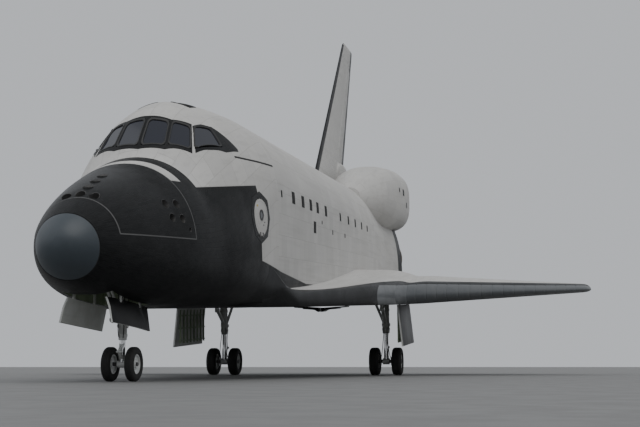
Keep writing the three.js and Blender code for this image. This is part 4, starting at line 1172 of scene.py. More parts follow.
# Vent doors and marks on the hull's side: station, height, length, height of the door
VENTS = [
    (9.2, 3.22, 0.16, 0.2), (10.75, 3.24, 0.4, 0.36), (12.1, 3.24, 0.4, 0.36), (13.3, 3.24, 0.38, 0.36),
    (14.4, 3.24, 0.38, 0.36), (15.85, 3.24, 0.38, 0.36), (13.9, 2.56, 0.38, 0.38), (18.65, 3.24, 0.26, 0.3),
    (20.4, 3.24, 0.28, 0.32), (22.0, 3.24, 0.28, 0.32), (23.6, 3.24, 0.26, 0.3), (25.1, 3.22, 0.24, 0.26),
    (15.1, 2.8, 0.1, 0.12), (17.05, 2.58, 0.14, 0.16), (19.55, 2.6, 0.14, 0.16),
]


def side_vents():
    """Vent doors on both sides of the hull, each with a raised middle."""
    made = []
    for side in (-1, 1):
        for x, z, width, height in VENTS:
            made.append(patch(x, z, width, height, side, 0.004, 0.02))
            made.append(patch(x, z, width * 0.55, height * 0.8, side, 0.012, 0.01))
    return joined(made)


DOOR_SEAMS = spread(DOOR_START, DOOR_END, DOOR_PANELS + 1)
DOOR_SUNK = 0.2  # how far the outside of a door lies outside the bay's round wall
DOOR_MIDDLE = 0.005  # half the gap between the doors


def door_ring(x, side, sunk):
    """The section of a bay door: its outer curve and its inner one."""
    low = SILL_Z + JOINT
    path = [(side_at(x, low) - sunk, low)]
    path += [(y, z) for y, z in hull_quarter(x, sunk, True) if z > low and y > DOOR_MIDDLE]
    path.append((DOOR_MIDDLE, path[-1][1] + 0.0004))
    outer = resampled(path, 40)
    radius = BAY_RADIUS + DOOR_SUNK
    shrink = (radius + sunk - DOOR_THICKNESS) / radius
    inner = []
    for y, z in reversed(outer):
        inner.append((max(DOOR_MIDDLE, y - DOOR_THICKNESS * y / HALF_WIDTH),
                      max(low, z - DOOR_THICKNESS * shrink)))
    inner[-1] = (inner[-1][0] if inner[-1][0] < outer[0][0] - 0.05 else outer[0][0] - DOOR_THICKNESS, low)
    return [(x, side * y, z) for y, z in outer + inner]


def bay_door_mesh(side):
    """A bay door of five panels with sunk seams between them."""
    ends = {0: ((0, 0.006), (0.01, 0)), len(DOOR_SEAMS) - 1: ((-0.01, 0), (0, 0.006))}
    seam = ((-0.022, 0), (-0.016, 0.008), (0.016, 0.008), (0.022, 0))
    rings = []
    for i, x in enumerate(DOOR_SEAMS):
        rings += [door_ring(x + shift, side, sunk) for shift, sunk in ends.get(i, seam)]
        if i < len(DOOR_SEAMS) - 1:
            step = (DOOR_SEAMS[i + 1] - x) / 4
            rings += [door_ring(x + step * k, side, 0) for k in (1, 2, 3)]
    return loft(rings, across=girth(rings[3]))


def door_inner(side, low, high, depth, x0, x1, lift=0.0):
    """A panel inside a bay door, between two angles round the bay."""
    rings = []
    outer = BAY_RADIUS + 0.165 - lift
    for degrees in spread(low, high, 18):
        c, s = math.cos(math.radians(degrees)), math.sin(math.radians(degrees))
        rings.append([(x, side * (outer - sunk) * c, BAY_AXIS_Z + (outer + 0.02 - sunk) * s)
                      for x, sunk in ((x0, 0), (x1, 0), (x1, depth), (x0, depth))])
    return loft(rings)


def build_doors():
    """The bay doors, each with radiators, ribs and hinges inside it."""
    for label, side in SIDES:
        body = f"{label}_bay_door"
        stand_in(body, bay_door_mesh(side), FELT, "white_tile", body)
        panels, ribs = [], []
        for start, end in zip(DOOR_SEAMS, DOOR_SEAMS[1:]):
            panels.append(door_inner(side, 17, 80, 0.03, start + 0.12, end - 0.12, 0.02))
            for share in (0.0, 0.333, 0.667, 1.0):
                x = start + 0.06 + share * (end - start - 0.12)
                ribs.append(door_inner(side, 12, 86, 0.05, x - 0.02, x + 0.02))
        show(f"{label}_radiators", panels, RADIATOR, "structure", body, smooth=30)
        for x in spread(DOOR_SEAMS[0] + 0.5, DOOR_SEAMS[-1] - 0.5, 13):
            ribs.append(rod((x - 0.09, side * 2.5, SILL_Z + 0.045), (x + 0.09, side * 2.5, SILL_Z + 0.045),
                            0.035, 14))
        show(f"{label}_door_ribs", ribs, STRUCTURE, "structure", body)


# Aft fuselage, its heat shield and the wells under it
ENGINE_ROWS = [
    ("upper_main_engine", (30.709, 0.0, 4.14), 16, 0),
    ("left_main_engine", (31.297, -1.346, 1.591), 10, -3.5),
    ("right_main_engine", (31.297, 1.346, 1.591), 10, 3.5),
]
FLAP = {"x": 32.87, "z": 0.225, "radius": 0.15, "half": 2.96, "chord": 2.057}
UMBILICAL = {"x0": 27.5, "size": 1.12, "y0": 1.19, "depth": 0.26}


def aim(up, out):
    """The direction aft that is turned up and to starboard by degrees."""
    a, b = math.radians(up), math.radians(out)
    return Vector((math.cos(a) * math.cos(b), math.cos(a) * math.sin(b), math.sin(a)))


def build_aft():
    """The aft hull, with room for the flap, the engines and what the umbilical doors cover."""
    body = hull_mesh(BAY_AFT + JOINT, BASE, 34)
    cove = turned((FLAP["x"], -3.3, FLAP["z"]), (FLAP["x"], 3.3, FLAP["z"]),
                  [(0, FLAP["radius"] + 0.004), (6.6, FLAP["radius"] + 0.004)], 40)
    wells = []
    x0, size = UMBILICAL["x0"], UMBILICAL["size"]
    for side in (-1, 1):
        y0, y1 = sorted((side * UMBILICAL["y0"], side * (UMBILICAL["y0"] + size)))
        wells.append(box(x0, x0 + size, y0, y1, -0.3, UMBILICAL["depth"]))
    bores = []
    for _, at, up, out in ENGINE_ROWS:
        d = aim(up, out)
        start = Vector(at) + d * 1.3
        bores.append(turned(start, start + d, [(0, 0.78), (3.2, 0.78)], 48))
    body = boolean(body, [joined(wells), cove], inside=1)
    body = boolean(body, bores, inside=2)
    stand_in("aft_fuselage", body, [SKIN_FINISH, LINER, BLANKET], "white_tile")
    show("base_shield", base_shield(), BLANKET, "structure", smooth=30)
    show("umbilical_plates", umbilical_plates(), RADIATOR, "structure")


def base_shield():
    """Domed heat shields round the engines."""
    made = []
    for _, at, up, out in ENGINE_ROWS:
        d = aim(up, out)
        centre = Vector(at) + d * ((BASE - at[0]) / d.x)
        profile = [(-0.16, 1.52), (-0.05, 1.5), (0.04, 1.44), (0.13, 1.34), (0.2, 1.2), (0.235, 1.08),
                   (0.24, 0.99), (0.22, 0.95), (0.1, 0.94), (-0.16, 0.94)]
        made.append(hoop(bar_rings(centre, centre + d, profile, 72)))
    return joined(made)


def umbilical_plates():
    """The plate in each umbilical well, with its round pipe ends and plugs."""
    made = []
    for side in (-1, 1):
        x0, size = UMBILICAL["x0"], UMBILICAL["size"]
        y = side * (UMBILICAL["y0"] + size / 2)
        top = UMBILICAL["depth"]
        made.append(block(x0 + 0.06, x0 + size - 0.06, y - 0.5, y + 0.5, top - 0.05, top - 0.004))
        for dx, dy, radius in ((0.34, 0.0, 0.2), (0.78, 0.22, 0.1), (0.8, -0.2, 0.08), (0.56, 0.36, 0.05)):
            centre = (x0 + dx, y + dy * side, top - 0.045)
            made.append(turned(centre, shifted(centre, z=-1),
                               [(0, radius), (0.07, radius), (0.09, radius * 0.94), (0.09, radius * 0.6),
                                (0.03, radius * 0.5)], 36))
        for k in range(5):
            plug = (x0 + 0.18 + k * 0.18, y - side * 0.4, top - 0.05)
            made.append(rod(plug, shifted(plug, z=-0.05), 0.03, 14))
    return joined(made)


LID_HINGE = {"y": 1.18, "z": -0.026, "open": -176}  # place and degrees at rest


def lid_edge():
    """The thick outer edge that brings a lid level with the wing's underside, swung open."""
    x0, x1 = UMBILICAL["x0"], UMBILICAL["x0"] + UMBILICAL["size"]
    edge = box(x0 + 0.008, x1 - 0.008, 1.6, 2.3, 0.003, 0.1)
    hinge = Matrix.Translation((0, LID_HINGE["y"], LID_HINGE["z"]))
    edge.transform(hinge @ Matrix.Rotation(math.radians(LID_HINGE["open"]), 4, "X") @ hinge.inverted())
    return edge


def build_umbilical_doors():
    """The umbilical doors keep their solid's shape, with a thick edge and black tiles."""
    edge = lid_edge()
    for label, side in SIDES:
        name = f"{label}_umbilical_door"
        lid = bevelled(boolean(copied(name), [sided(edge, side)], "UNION"), 0.006, 2, 45)
        stand_in(name, lid, BELLY_TILES, "black_tile", name, 35)


# Wings: the long glove runs into a leading edge swept 45 degrees
GLOVE_FORWARD = (5.1, 9.5)  # where the glove grows out of the hull's side
CRANK = {"x": 19.863, "y": 4.62, "rounding": 0.52}
GLOVE_SLOPE = math.tan(math.radians(81))
EDGE_START = 4.15
TIP_START = 11.55
ROOT_THICKNESS = [(0, 0.43), (0.1, 0.52), (0.22, 0.64), (0.36, 0.86), (0.5, 1.18), (0.63, 1.43),
                  (0.75, 1.18), (0.845, 0.74), (1, 0.06)]
OUTER_THICKNESS = [(0, 0.6), (0.12, 0.82), (0.25, 0.96), (0.38, 1), (0.55, 0.9), (0.75, 0.6), (1, 0.06)]
root_thickness = reader(ROOT_THICKNESS, 1)
outer_thickness = reader(OUTER_THICKNESS, 1)
ROOT_Y = 1.92  # the wing's root lies inside the hull
MAIN_WELL = {"x0": 20.7, "x1": 24.4, "y0": 2.82, "y1": 4.42, "depth": 0.8}


def leading_edge(y):
    glove = CRANK["x"] + (y - CRANK["y"]) * GLOVE_SLOPE
    outer = CRANK["x"] + (y - CRANK["y"])
    mean, half = (glove + outer) / 2, (glove - outer) / 2
    return mean - math.hypot(half, CRANK["rounding"]) + CRANK["rounding"] * 0.35


def trailing_edge(y):
    return 32.095 - (y - 3.632) * math.tan(math.radians(10.056))


def wing_surfaces(x, y):
    """Lower and upper surface heights of the wing at a point of its plan."""
    front = leading_edge(y)
    chord = trailing_edge(y) - front
    outboard = smoothstep(y, 2.9, 5.6)
    floor = max(0.0, y - 4.4) * 0.058

    depth = 0.098 * chord + 0.02

    def thickness(share):
        return (1 - outboard) * root_thickness(share) + outboard * outer_thickness(share) * depth

    nose = min(0.62, 0.09 * chord)
    roundness = math.sqrt(max(0.0, 1 - (1 - min(1, (x - front) / nose)) ** 2))
    edge = 0.42 * thickness(nose / chord)
    low = floor + edge * (1 - roundness)
    high = floor + edge + (thickness((x - front) / chord) - edge) * roundness
    if y > TIP_START:
        t = (y - TIP_START) / (HALF_SPAN - TIP_START)
        middle, shrink = floor + 0.12, math.sqrt(max(0.0, 1 - 0.9 * t ** 2.4))
        low, high = middle + (low - middle) * shrink, middle + (high - middle) * shrink
    return low, high


def edge_depth(y):
    return 0.43 + (5.2 - y) * 0.12 if y < 5.2 else 0.43 - (y - 5.2) * 0.02


def tip_shift(y):
    """How far the tip's rounded corner lies behind the straight leading edge."""
    return 0.3 * max(0.0, (y - TIP_START) / (HALF_SPAN - TIP_START)) ** 3


def dark_edge(y):
    """Station where the black tiles on the wing's top end."""
    slope = (leading_edge(y + 0.05) - leading_edge(y - 0.05)) / 0.1
    return leading_edge(y) + (0.3 + 0.32 * smoothstep(y, 4.2, 5.4)) * math.hypot(1, slope)


def wing_ring(y, start, back):
    """A ring round the wing's section, closest set at the front of the black tiles and behind them."""
    mark, dark, pale = dark_edge(y), 12, 32
    count = dark + pale
    xs = [start + (mark - start) * (i / dark) ** 1.5 for i in range(dark)]
    xs += [mark + (back - mark) * (i / (pale - 1)) ** 1.2 for i in range(pale)]
    shift = tip_shift(y)
    over = [(x + shift * (1 - i / (count - 1)), y, wing_surfaces(x, y)[1]) for i, x in enumerate(xs)]
    under = [(x + shift * (1 - i / (count - 1)), y, wing_surfaces(x, y)[0]) for i, x in enumerate(xs)]
    return over + under[::-1]


def blended(x, y, z):
    """Draws the front of the glove in to the hull's side, so that it grows out of it."""
    start, end = GLOVE_FORWARD
    if x > end:
        return x, y, z
    share = smoothstep(x, start, end)
    inner = min(y, side_at(x, max(z, 0.05)) - 0.03)
    y = inner + (y - inner) * share
    low = max(z, floor_at(x, y) + 0.02)
    return x, y, low + (z - low) * share


def wing_body():
    """The wing behind its carbon edge."""
    rings = []
    spans = spread(2.3, EDGE_START - 0.0005, 12) + spread(EDGE_START, 5.6, 14) + spread(5.9, TIP_START, 14)
    spans += [11.62, 11.7, 11.76, 11.81, 11.85, 11.875, HALF_SPAN]
    for y in spans:
        front = leading_edge(y)
        start = front + (edge_depth(y) + 0.0003 if y >= EDGE_START else 0.002)
        back = 30.6 - max(0.0, y - 4) * 0.02
        rings.append(wing_ring(y, start, back))
    rings.insert(0, [(x, ROOT_Y, z) for x, _, z in rings[0]])
    mesh = loft([[blended(*point) for point in ring] for ring in rings])
    for face in mesh.polygons:
        x, y, z = face.center
        face.material_index = 0 if face.normal.z < 0.15 else (1 if x < dark_edge(max(y, 2.3)) else 2)
    return mesh


def elevon_hinge(ends, y):
    """The middle and the radius of a control surface's round nose at a span."""
    (low_a, high_a), (low_b, high_b) = (wing_surfaces(ELEVON_HINGE_X, end) for end in ends)
    share = (y - ends[0]) / (ends[1] - ends[0])
    middle = (low_a + high_a) / 2 + share * ((low_b + high_b) - (low_a + high_a)) / 2
    radius = (high_a - low_a) / 2 + share * ((high_b - low_b) - (high_a - low_a)) / 2
    return (ELEVON_HINGE_X, y, middle), radius


ELEVON_ROOMS = {"inboard": (3.62, 7.81), "outboard": (7.85, 11.72)}


def elevon_room(span):
    """What is cut from the wing for a control surface: a round hollow and all behind it."""
    ends, (y0, y1) = ELEVONS[span], ELEVON_ROOMS[span]
    (a, ra), (b, rb) = elevon_hinge(ends, y0), elevon_hinge(ends, y1)
    length = (Vector(b) - Vector(a)).length
    round_part = turned(a, b, [(0, ra + 0.018), (length, rb + 0.018)], 64)
    rings = []
    for (x, y, _), radius in ((a, ra), (b, rb)):
        front, back = x - 0.4 * radius, x + 4
        rings.append([(front, y, -1), (back, y, -1), (back, y, 2), (front, y, 2)])
    return [round_part, loft(rings)]


def eased_spans(y0, y1, margin, count, ease):
    """Places across a control surface, each with how far the section is drawn in there."""
    inner = [(y, 0) for y in spread(y0 + margin, y1 - margin, count)]
    return [(y0, ease), (y0 + ease, 0)] + inner + [(y1 - ease, 0), (y1, ease)]


def round_nose(cx, y, cz, r):
    """The front half of a control surface's section, from below to above."""
    turns = spread(1.5 * math.pi, 0.5 * math.pi, 21)
    return [(cx + r * math.cos(a), y, cz + r * math.sin(a)) for a in turns]


def elevon_mesh(span):
    """An elevon with a round nose, a thin blunt back and eased ends."""
    ends = ELEVONS[span]
    rings = []
    for y, ease in eased_spans(*ends, 0.4, 8, 0.012):
        (cx, _, cz), radius = elevon_hinge(ends, y)
        back, r = trailing_edge(y) - ease, radius - ease
        top = [(cx + (back - cx) * t, y, cz + r + (0.024 - r) * t) for t in (0.02, 0.25, 0.5, 0.75, 0.985)]
        low = [(x, y, 2 * cz - z) for x, y, z in reversed(top)]
        rings.append(round_nose(cx, y, cz, r) + top + [(back, y, cz + 0.016), (back, y, cz - 0.016)] + low)
    mesh = loft(rings)
    for face in mesh.polygons:
        upper = face.normal.z > 0.1 and face.center.x > ELEVON_HINGE_X
        trailing = face.center.x > trailing_edge(face.center.y) - 0.4
        face.material_index = 2 if upper and not trailing else 0
    return mesh


def edge_ring(y, sunk):
    """The nose of the wing's section, sunk a little at a seam."""
    front, depth = leading_edge(y), edge_depth(y)
    xs = [front + depth * share ** 1.8 for share in spread(0, 1, 16)]
    shift = tip_shift(y)
    over = [(x, wing_surfaces(x, y)[1]) for x in xs]
    under = [(x, wing_surfaces(x, y)[0]) for x in xs]
    ring = over[::-1] + under[1:]
    middle_z = (over[-1][1] + under[-1][1]) / 2
    size = max(over[-1][1] - under[-1][1], 0.05)
    grow = 1 - sunk / (size / 2)
    back = front + depth
    return [(x + (back - x) * sunk / depth + shift, y, middle_z + (z - middle_z) * grow) for x, z in ring]


def edge_panels():
    """The carbon leading edge, in panels with a sunk seam between each two."""
    marks = [EDGE_START]
    y = EDGE_START + 0.36
    while y < TIP_START - 0.2:
        marks.append(y)
        y += 0.3 if y < 4.9 else 0.355 if y < 6 else 0.42
    marks.append(TIP_START)
    rings = [edge_ring(EDGE_START, 0)]
    for low, high in zip(marks, marks[1:]):
        rings += [edge_ring(low + (high - low) * t, 0) for t in (0.25, 0.5, 0.75)]
        if high < TIP_START:
            rings += [edge_ring(high - 0.014, 0), edge_ring(high - 0.009, 0.009),
                      edge_ring(high + 0.009, 0.009), edge_ring(high + 0.014, 0)]
    rings += [edge_ring(y, 0) for y in (TIP_START, 11.65, 11.74, 11.81, 11.85, 11.875, HALF_SPAN)]
    return loft(rings, across=girth(rings[6]))


def well_frames(x0, x1, y0, y1, top, depth, count):
    """Ribs and pipes on the roof of a wheel well."""
    made = []
    for x in spread(x0 + 0.3, x1 - 0.3, count):
        made.append(block(x - 0.02, x + 0.02, y0 + 0.02, y1 - 0.02, top - depth, top + 0.01, 0.004))
    for y in (y0 + 0.22, (y0 + y1) / 2 + 0.1, y1 - 0.22):
        made.append(block(x0 + 0.02, x1 - 0.02, y - 0.016, y + 0.016, top - depth * 0.7, top + 0.01, 0.004))
    return made


def build_wings():
    """Wings with their carbon edges, what lines their wheel wells, and their control surfaces."""
    tools = elevon_room("inboard") + elevon_room("outboard")
    tools.append(box(ELEVON_HINGE_X + 0.09, 34, ELEVONS["inboard"][1], ELEVONS["outboard"][0], -0.5, 2.5))
    tools.append(box(27.46, 28.66, 1.85, 2.34, -0.5, 0.32))
    plan, top = [MAIN_WELL[key] for key in ("x0", "x1", "y0", "y1")], MAIN_WELL["depth"]
    body = boolean(boolean(wing_body(), tools, inside=3), [box(*plan, -0.5, top)], inside=4)
    edge = edge_panels()
    frames = joined(well_frames(*plan, top, 0.09, 7))
    surfaces = [BELLY_TILES, SIDE_TILES, FELT, GAP_SEAL, LINER]
    for label, side in SIDES:
        stand_in(f"{label}_wing", sided(body, side), surfaces, "black_tile")
        stand_in(f"{label}_leading_edge", sided(edge, side), WARM_CARBON, "grey_carbon")
        show(f"{label}_well_frames", sided(frames, side), PRIMER, "structure")
        for span in ELEVONS:
            stand_in(f"{label}_{span}_elevon", sided(elevon_mesh(span), side),
                     [BELLY_TILES, SIDE_TILES, FELT], "black_tile", f"{label}_{span}_elevon")
            show(f"{label}_{span}_pins", sided(elevon_pins(span), side), DARK_METAL, "structure",
                 f"{label}_{span}_elevon")


def elevon_pins(span):
    """Pins from the ends of a control surface into the wing."""
    ends, room = ELEVONS[span], ELEVON_ROOMS[span]
    made = []
    for inside, wall in ((ends[0] + 0.06, room[0] + 0.004), (ends[1] - 0.06, room[1] - 0.004)):
        made.append(rod(elevon_hinge(ends, inside)[0], elevon_hinge(ends, wall)[0], 0.044, 20, 0.003))
    return joined(made)


def build_body_flap():
    """The body flap, white above and black below."""
    rings = []
    cx, cz = FLAP["x"], FLAP["z"]
    half, back = FLAP["half"], FLAP["x"] + FLAP["chord"]
    for y, ease in eased_spans(-half, half, 0.5, 7, 0.014):
        r = FLAP["radius"] - ease
        top = [(cx + (back - cx) * t, y, cz + r + (-0.06 - r) * t) for t in (0.02, 0.3, 0.6, 0.98)]
        low = [(cx + (back - cx) * t, y, cz - r + (-0.11 + r) * t) for t in (0.98, 0.6, 0.3, 0.02)]
        tail = [(back - ease, y, cz - 0.068), (back - ease, y, cz - 0.102)]
        rings.append(round_nose(cx, y, cz, r) + top + tail + low)
    mesh = loft(rings)
    for face in mesh.polygons:
        face.material_index = 1 if face.normal.z > 0.1 and cx < face.center.x < back - 0.35 else 0
    stand_in("body_flap", mesh, [BELLY_TILES, WHITE_TILES], "black_tile", "body_flap")


# Fin and split rudder
FIN_DARK_BACK = 0.5  # how far the dark back edge reaches forward


def fin_plan(z):
    """The fin's front edge, back edge, hinge and half thickness at a height."""
    front = 26.462 + (z - FIN_ROOT_Z)
    back = 33.282 + (z - FIN_ROOT_Z) * 0.4931
    return front, back, front + 0.6 * (back - front), 0.0315 * (back - front)


def fin_dark(z):
    """How far the dark front edge reaches back."""
    front, back, _, _ = fin_plan(z)
    return min(0.4, 0.096 * (back - front))


def fin_ring(z, shrink=1.0, shift=0.0):
    """The fin's wedge section at one height."""
    front, back, hinge, half = fin_plan(z)
    front += shift
    h = half * shrink
    reach = (hinge - front) / 5
    dark = fin_dark(z)
    rows = [(0.0, 0.06), (0.012, 0.12), (0.06, 0.2), (dark / 2, 0.29), (dark, 0.24 + 0.26 * dark / reach),
            (reach, 0.5), (2 * reach, 0.72), (3 * reach, 0.88), (4 * reach, 0.96), (5 * reach, 1)]
    port = [(front + d, -h * s, z) for d, s in rows]
    back_half = 0.025 * max(shrink, 0.3)
    middle = (hinge + back) / 2
    mid_half = (h + back_half) / 2
    port += [(middle, -mid_half, z), (back - 0.02, -back_half, z)]
    return port + [(x, -y, z) for x, y, z in reversed(port)]


HINGE_LOW = Vector((fin_plan(RUDDER_LOW)[2], 0, RUDDER_LOW))
HINGE_HIGH = Vector((fin_plan(RUDDER_HIGH)[2], 0, RUDDER_HIGH))
HINGE_LENGTH = (HINGE_HIGH - HINGE_LOW).length
HINGE_UP = (HINGE_HIGH - HINGE_LOW).normalized()
HINGE_AFT = Vector((HINGE_UP.z, 0, -HINGE_UP.x))


def by_hinge(s, aft, y):
    """A point by its distance along the rudder's hinge line, aft of it and to starboard of it."""
    p = HINGE_LOW + HINGE_UP * s + HINGE_AFT * aft
    return (p.x, y, p.z)


def rudder_section(s):
    """The rudder's half thickness at its hinge line and its length aft of it."""
    foot = by_hinge(s, 0, 0)
    _, back, _, half = fin_plan(foot[2])
    return half, (back - foot[0]) / (HINGE_AFT.x - 0.4931 * HINGE_AFT.z)


def rudder_space():
    """What is cut from the fin for the rudder: a round hollow and all behind it."""
    ends = (-0.025, HINGE_LENGTH + 0.025)
    a, b = (by_hinge(s, 0, 0) for s in ends)
    low, high = (rudder_section(s)[0] + 0.016 for s in ends)
    length = HINGE_LENGTH + 0.05
    round_part = turned(a, b, [(0, low), (length, high)], 56)
    rings = []
    for s in ends:
        front = -0.95 * rudder_section(s)[0]
        rings.append([by_hinge(s, front, -0.9), by_hinge(s, 4, -0.9), by_hinge(s, 4, 0.9),
                      by_hinge(s, front, 0.9)])
    return [round_part, loft(rings)]


def rudder_panel_mesh(side):
    """One half of the split rudder, with three shallow seams down its outer face."""
    seams = spread(0, HINGE_LENGTH, 5)[1:-1]
    marks = [(0, 0.012), (0.012, 0)]
    for s in seams:
        marks += [(s - 0.012, 0), (s - 0.007, 0.006), (s + 0.007, 0.006), (s + 0.012, 0)]
    marks += [(HINGE_LENGTH - 0.012, 0), (HINGE_LENGTH, 0.012)]
    rings = []
    bore = SHAFT_RADIUS + 0.0015
    for s, sunk in marks:
        half, chord = rudder_section(s)
        half -= sunk
        ring = [by_hinge(s, chord - sunk, side * 0.004), by_hinge(s, chord - sunk, side * 0.024)]
        ring += [by_hinge(s, chord * t, side * (half + (0.028 - half) * t)) for t in (0.97, 0.66, 0.33, 0.0)]
        for degrees in (98, 104, 110, 116, 121, 126):
            angle = math.radians(degrees)
            ring.append(by_hinge(s, half * math.cos(angle), side * half * math.sin(angle)))
        for degrees in (126, 114, 102, 90, 78, 66, 54, 42, 30, 18, 6):
            angle = math.radians(degrees)
            ring.append(by_hinge(s, bore * math.cos(angle), side * max(0.004, bore * math.sin(angle))))
        rings.append(ring)
    mesh = loft(rings)
    for face in mesh.polygons:
        p = face.center - HINGE_LOW
        along, aft = p.dot(HINGE_UP), p.dot(HINGE_AFT)
        dark = aft > rudder_section(along)[1] - FIN_DARK_BACK
        face.material_index = 1 if dark else (2 if abs(face.center.y) < 0.006 else 0)
    return mesh


# station, half width, top
CHUTE = [(30.8, 0.12, 6.1), (31.5, 0.34, 6.95), (32.2, 0.43, 6.95), (33.0, 0.46, 6.56), (33.7, 0.44, 6.2)]


def chute_ring(x):
    """A round-topped section of the chute housing."""
    half, top = reader(CHUTE, 1)(x), reader(CHUTE, 2)(x)
    ring = [(x, -half, 5.2), (x, half, 5.2)]
    for a in spread(0, math.pi, 25):
        c, s = math.cos(a), math.sin(a)
        ring.append((x, half * signed_power(c, 0.8), top - 0.33 + 0.33 * signed_power(s, 0.8)))
    return ring


def build_fin():
    """The fin with its rounded tip, the chute housing, and the split rudder on its shaft."""
    rings = [fin_ring(z) for z in [5.0, FIN_ROOT_Z] + spread(6.3, 13.3, 14)]
    for t in (0.25, 0.45, 0.62, 0.76, 0.88, 0.96, 1.0):
        z = 13.3 + (FIN_TIP_Z - 13.3) * t
        rings.append(fin_ring(z, math.sqrt(1 - 0.88 * t * t), 0.22 * t ** 3))
    blade = boolean(loft(rings), rudder_space())
    for face in blade.polygons:
        front, back, _, _ = fin_plan(face.center.z)
        x = face.center.x
        face.material_index = 1 if x < front + fin_dark(face.center.z) or x > back - FIN_DARK_BACK else 0
    stand_in("fin", blade, [WHITE_TILES, SIDE_TILES], "white_tile")
    stations = (30.8, 30.9, 31.05, 31.25, 31.5, 31.8, 32.1, 32.4, 32.7, 33.0, 33.25, 33.45, 33.6, 33.66,
                33.7)
    show("chute_housing", loft([chute_ring(x) for x in stations]), WHITE_TILES, "white_tile", smooth=30)
    show("chute_lid", chute_lid(), GAP_SEAL, "structure")
    reach = 0.0247
    shaft = rod(by_hinge(-reach, 0, 0), by_hinge(HINGE_LENGTH + reach, 0, 0), SHAFT_RADIUS, 40, 0.004)
    stand_in("rudder_shaft", shaft, CHROME, "structure", "rudder_shaft", 35)
    surfaces = [WHITE_TILES, SIDE_TILES, STRUCTURE]
    for label, side in SIDES:
        name = f"{label}_rudder_panel"
        stand_in(name, rudder_panel_mesh(side), surfaces, "white_tile", name)


def chute_lid():
    """A round seam on the chute housing's back face."""
    centre = Vector((33.7, 0, 5.86))
    profile = [(-0.005, 0.27), (0.006, 0.27), (0.006, 0.25), (-0.005, 0.25)]
    return hoop(bar_rings(centre, centre + Vector((1, 0, 0)), profile, 60))


# Manoeuvring pods on the shoulders of the aft fuselage
# station, middle y, half width, middle z, half height, power
POD = [(27.13, 1.5, 0.48, 4.8, 0.42, 2.0), (27.7, 1.61, 1.03, 4.88, 0.96, 2.1),
       (28.6, 1.74, 1.35, 4.95, 1.28, 2.3), (30.0, 1.91, 1.44, 5.01, 1.46, 2.6),
       (32.0, 2.02, 1.47, 5.04, 1.51, 2.8), (33.4, 2.02, 1.45, 5.03, 1.48, 3.0)]
POD_ENGINE_AT = (33.18, 2.235, 5.385)


def pod_section(x):
    """The middle, half width, height, half height and power of a pod's section."""
    return [reader(POD, column)(x) for column in range(1, 6)]


def pod_ring(x, inset=0.0):
    """A ring round a pod, drawn in by an inset."""
    middle, half_width, height, half_height, power = pod_section(x)
    ring = []
    for i in range(72):
        a = 2 * math.pi * i / 72
        ring.append((x, middle + (half_width - inset) * signed_power(math.cos(a), 2 / power),
                     height + (half_height - inset) * signed_power(math.sin(a), 2 / power)))
    return ring


def pod_mesh():
    """A pod with the socket that its engine sits in."""
    stations = [27.13, 27.18, 27.26, 27.4, 27.55, 27.7] + spread(27.95, 33.3, 20)
    rings = [pod_ring(x) for x in stations]
    rings += [pod_ring(33.36, 0.006), pod_ring(33.39, 0.02), pod_ring(33.4, 0.04)]
    body = loft(rings, across=girth(rings[12]))
    d = aim(15.8, 6.5)
    start = Vector(POD_ENGINE_AT) - d * 0.05
    socket = turned(start, start + d, [(0, 0.32), (0.24, 0.32), (0.42, 0.43), (1.2, 0.62)], 48)
    return boolean(body, [socket], inside=1)


def pod_thrusters():
    """The block of small thrusters at the back of a pod, with its dark mouths."""
    outer = [[(32.62, 2.52, 4.22), (32.62, 3.39, 4.27), (32.62, 3.39, 5.33), (32.62, 2.52, 5.33)],
             [(33.93, 2.71, 4.32), (33.93, 3.37, 4.37), (33.93, 3.37, 5.18), (33.93, 2.71, 5.18)]]
    side = [(0, 0.07), (0.13, 0.09), (0.6, 0.12)]
    back = [(0, 0.05), (0.1, 0.065), (0.5, 0.08)]
    top = [(0, 0.06), (0.1, 0.08), (0.5, 0.1)]
    rows = [((x, 3.2, z), (x, 4.2, z), side) for x in (32.95, 33.25, 33.55) for z in (4.62, 4.98)]
    rows += [((33.8, y, 4.62), (34.8, y, 4.62), back) for y in (2.86, 3.05, 3.24)]
    rows += [((x, 3.1, 5.1), (x, 3.1, 6.1), top) for x in (33.1, 33.4)]
    return boolean(bevelled(loft(outer), 0.05, 4, 30), [turned(*row, 24) for row in rows], inside=1)


def pod_panels():
    """Dark access panels on a pod's outer side."""
    made = []
    for x, z, width, height in ((31.2, 5.3, 0.5, 0.3), (31.95, 4.75, 0.3, 0.26), (30.3, 5.35, 0.24, 0.2)):
        middle, half_width, centre, half_height, power = pod_section(x)

        def side(u, v):
            share = min(1.0, abs(v - centre) / half_height)
            out = middle + half_width * (1 - share ** power) ** (1 / power)
            return Vector((u, out, v)), Vector((0, 1, 0))

        made.append(strip_on(side, spread(x - width / 2, x + width / 2, 5),
                             spread(z - height / 2, z + height / 2, 7), 0.006, 0.02))
    return joined(made)


def build_pods():
    """The pods, with their thrusters and panels."""
    mesh, block_mesh, panels = pod_mesh(), pod_thrusters(), pod_panels()
    for label, side in SIDES:
        stand_in(f"{label}_pod", sided(mesh, side), [FELT, BLANKET], "white_tile", smooth=35)
        show(f"{label}_pod_thrusters", sided(block_mesh, side), [WHITE_TILES, GAP_SEAL], "white_tile")
        show(f"{label}_pod_panels", sided(panels, side), SIDE_TILES, "black_tile")


# Engines
MAIN_ENGINE = {"block": 0.69, "block_length": 1.3, "throat": 0.42, "exit": 1.195, "length": 2.95,
               "wall": 0.04}
POD_ENGINE = {"block": 0.2, "block_length": 0.18, "throat": 0.21, "exit": 0.548, "length": 1.05,
              "wall": 0.016}


def bell_radius(sizes, t):
    """The outer radius of a nozzle at a share of its length."""
    return sizes["throat"] + (sizes["exit"] - sizes["throat"]) * t ** 0.62


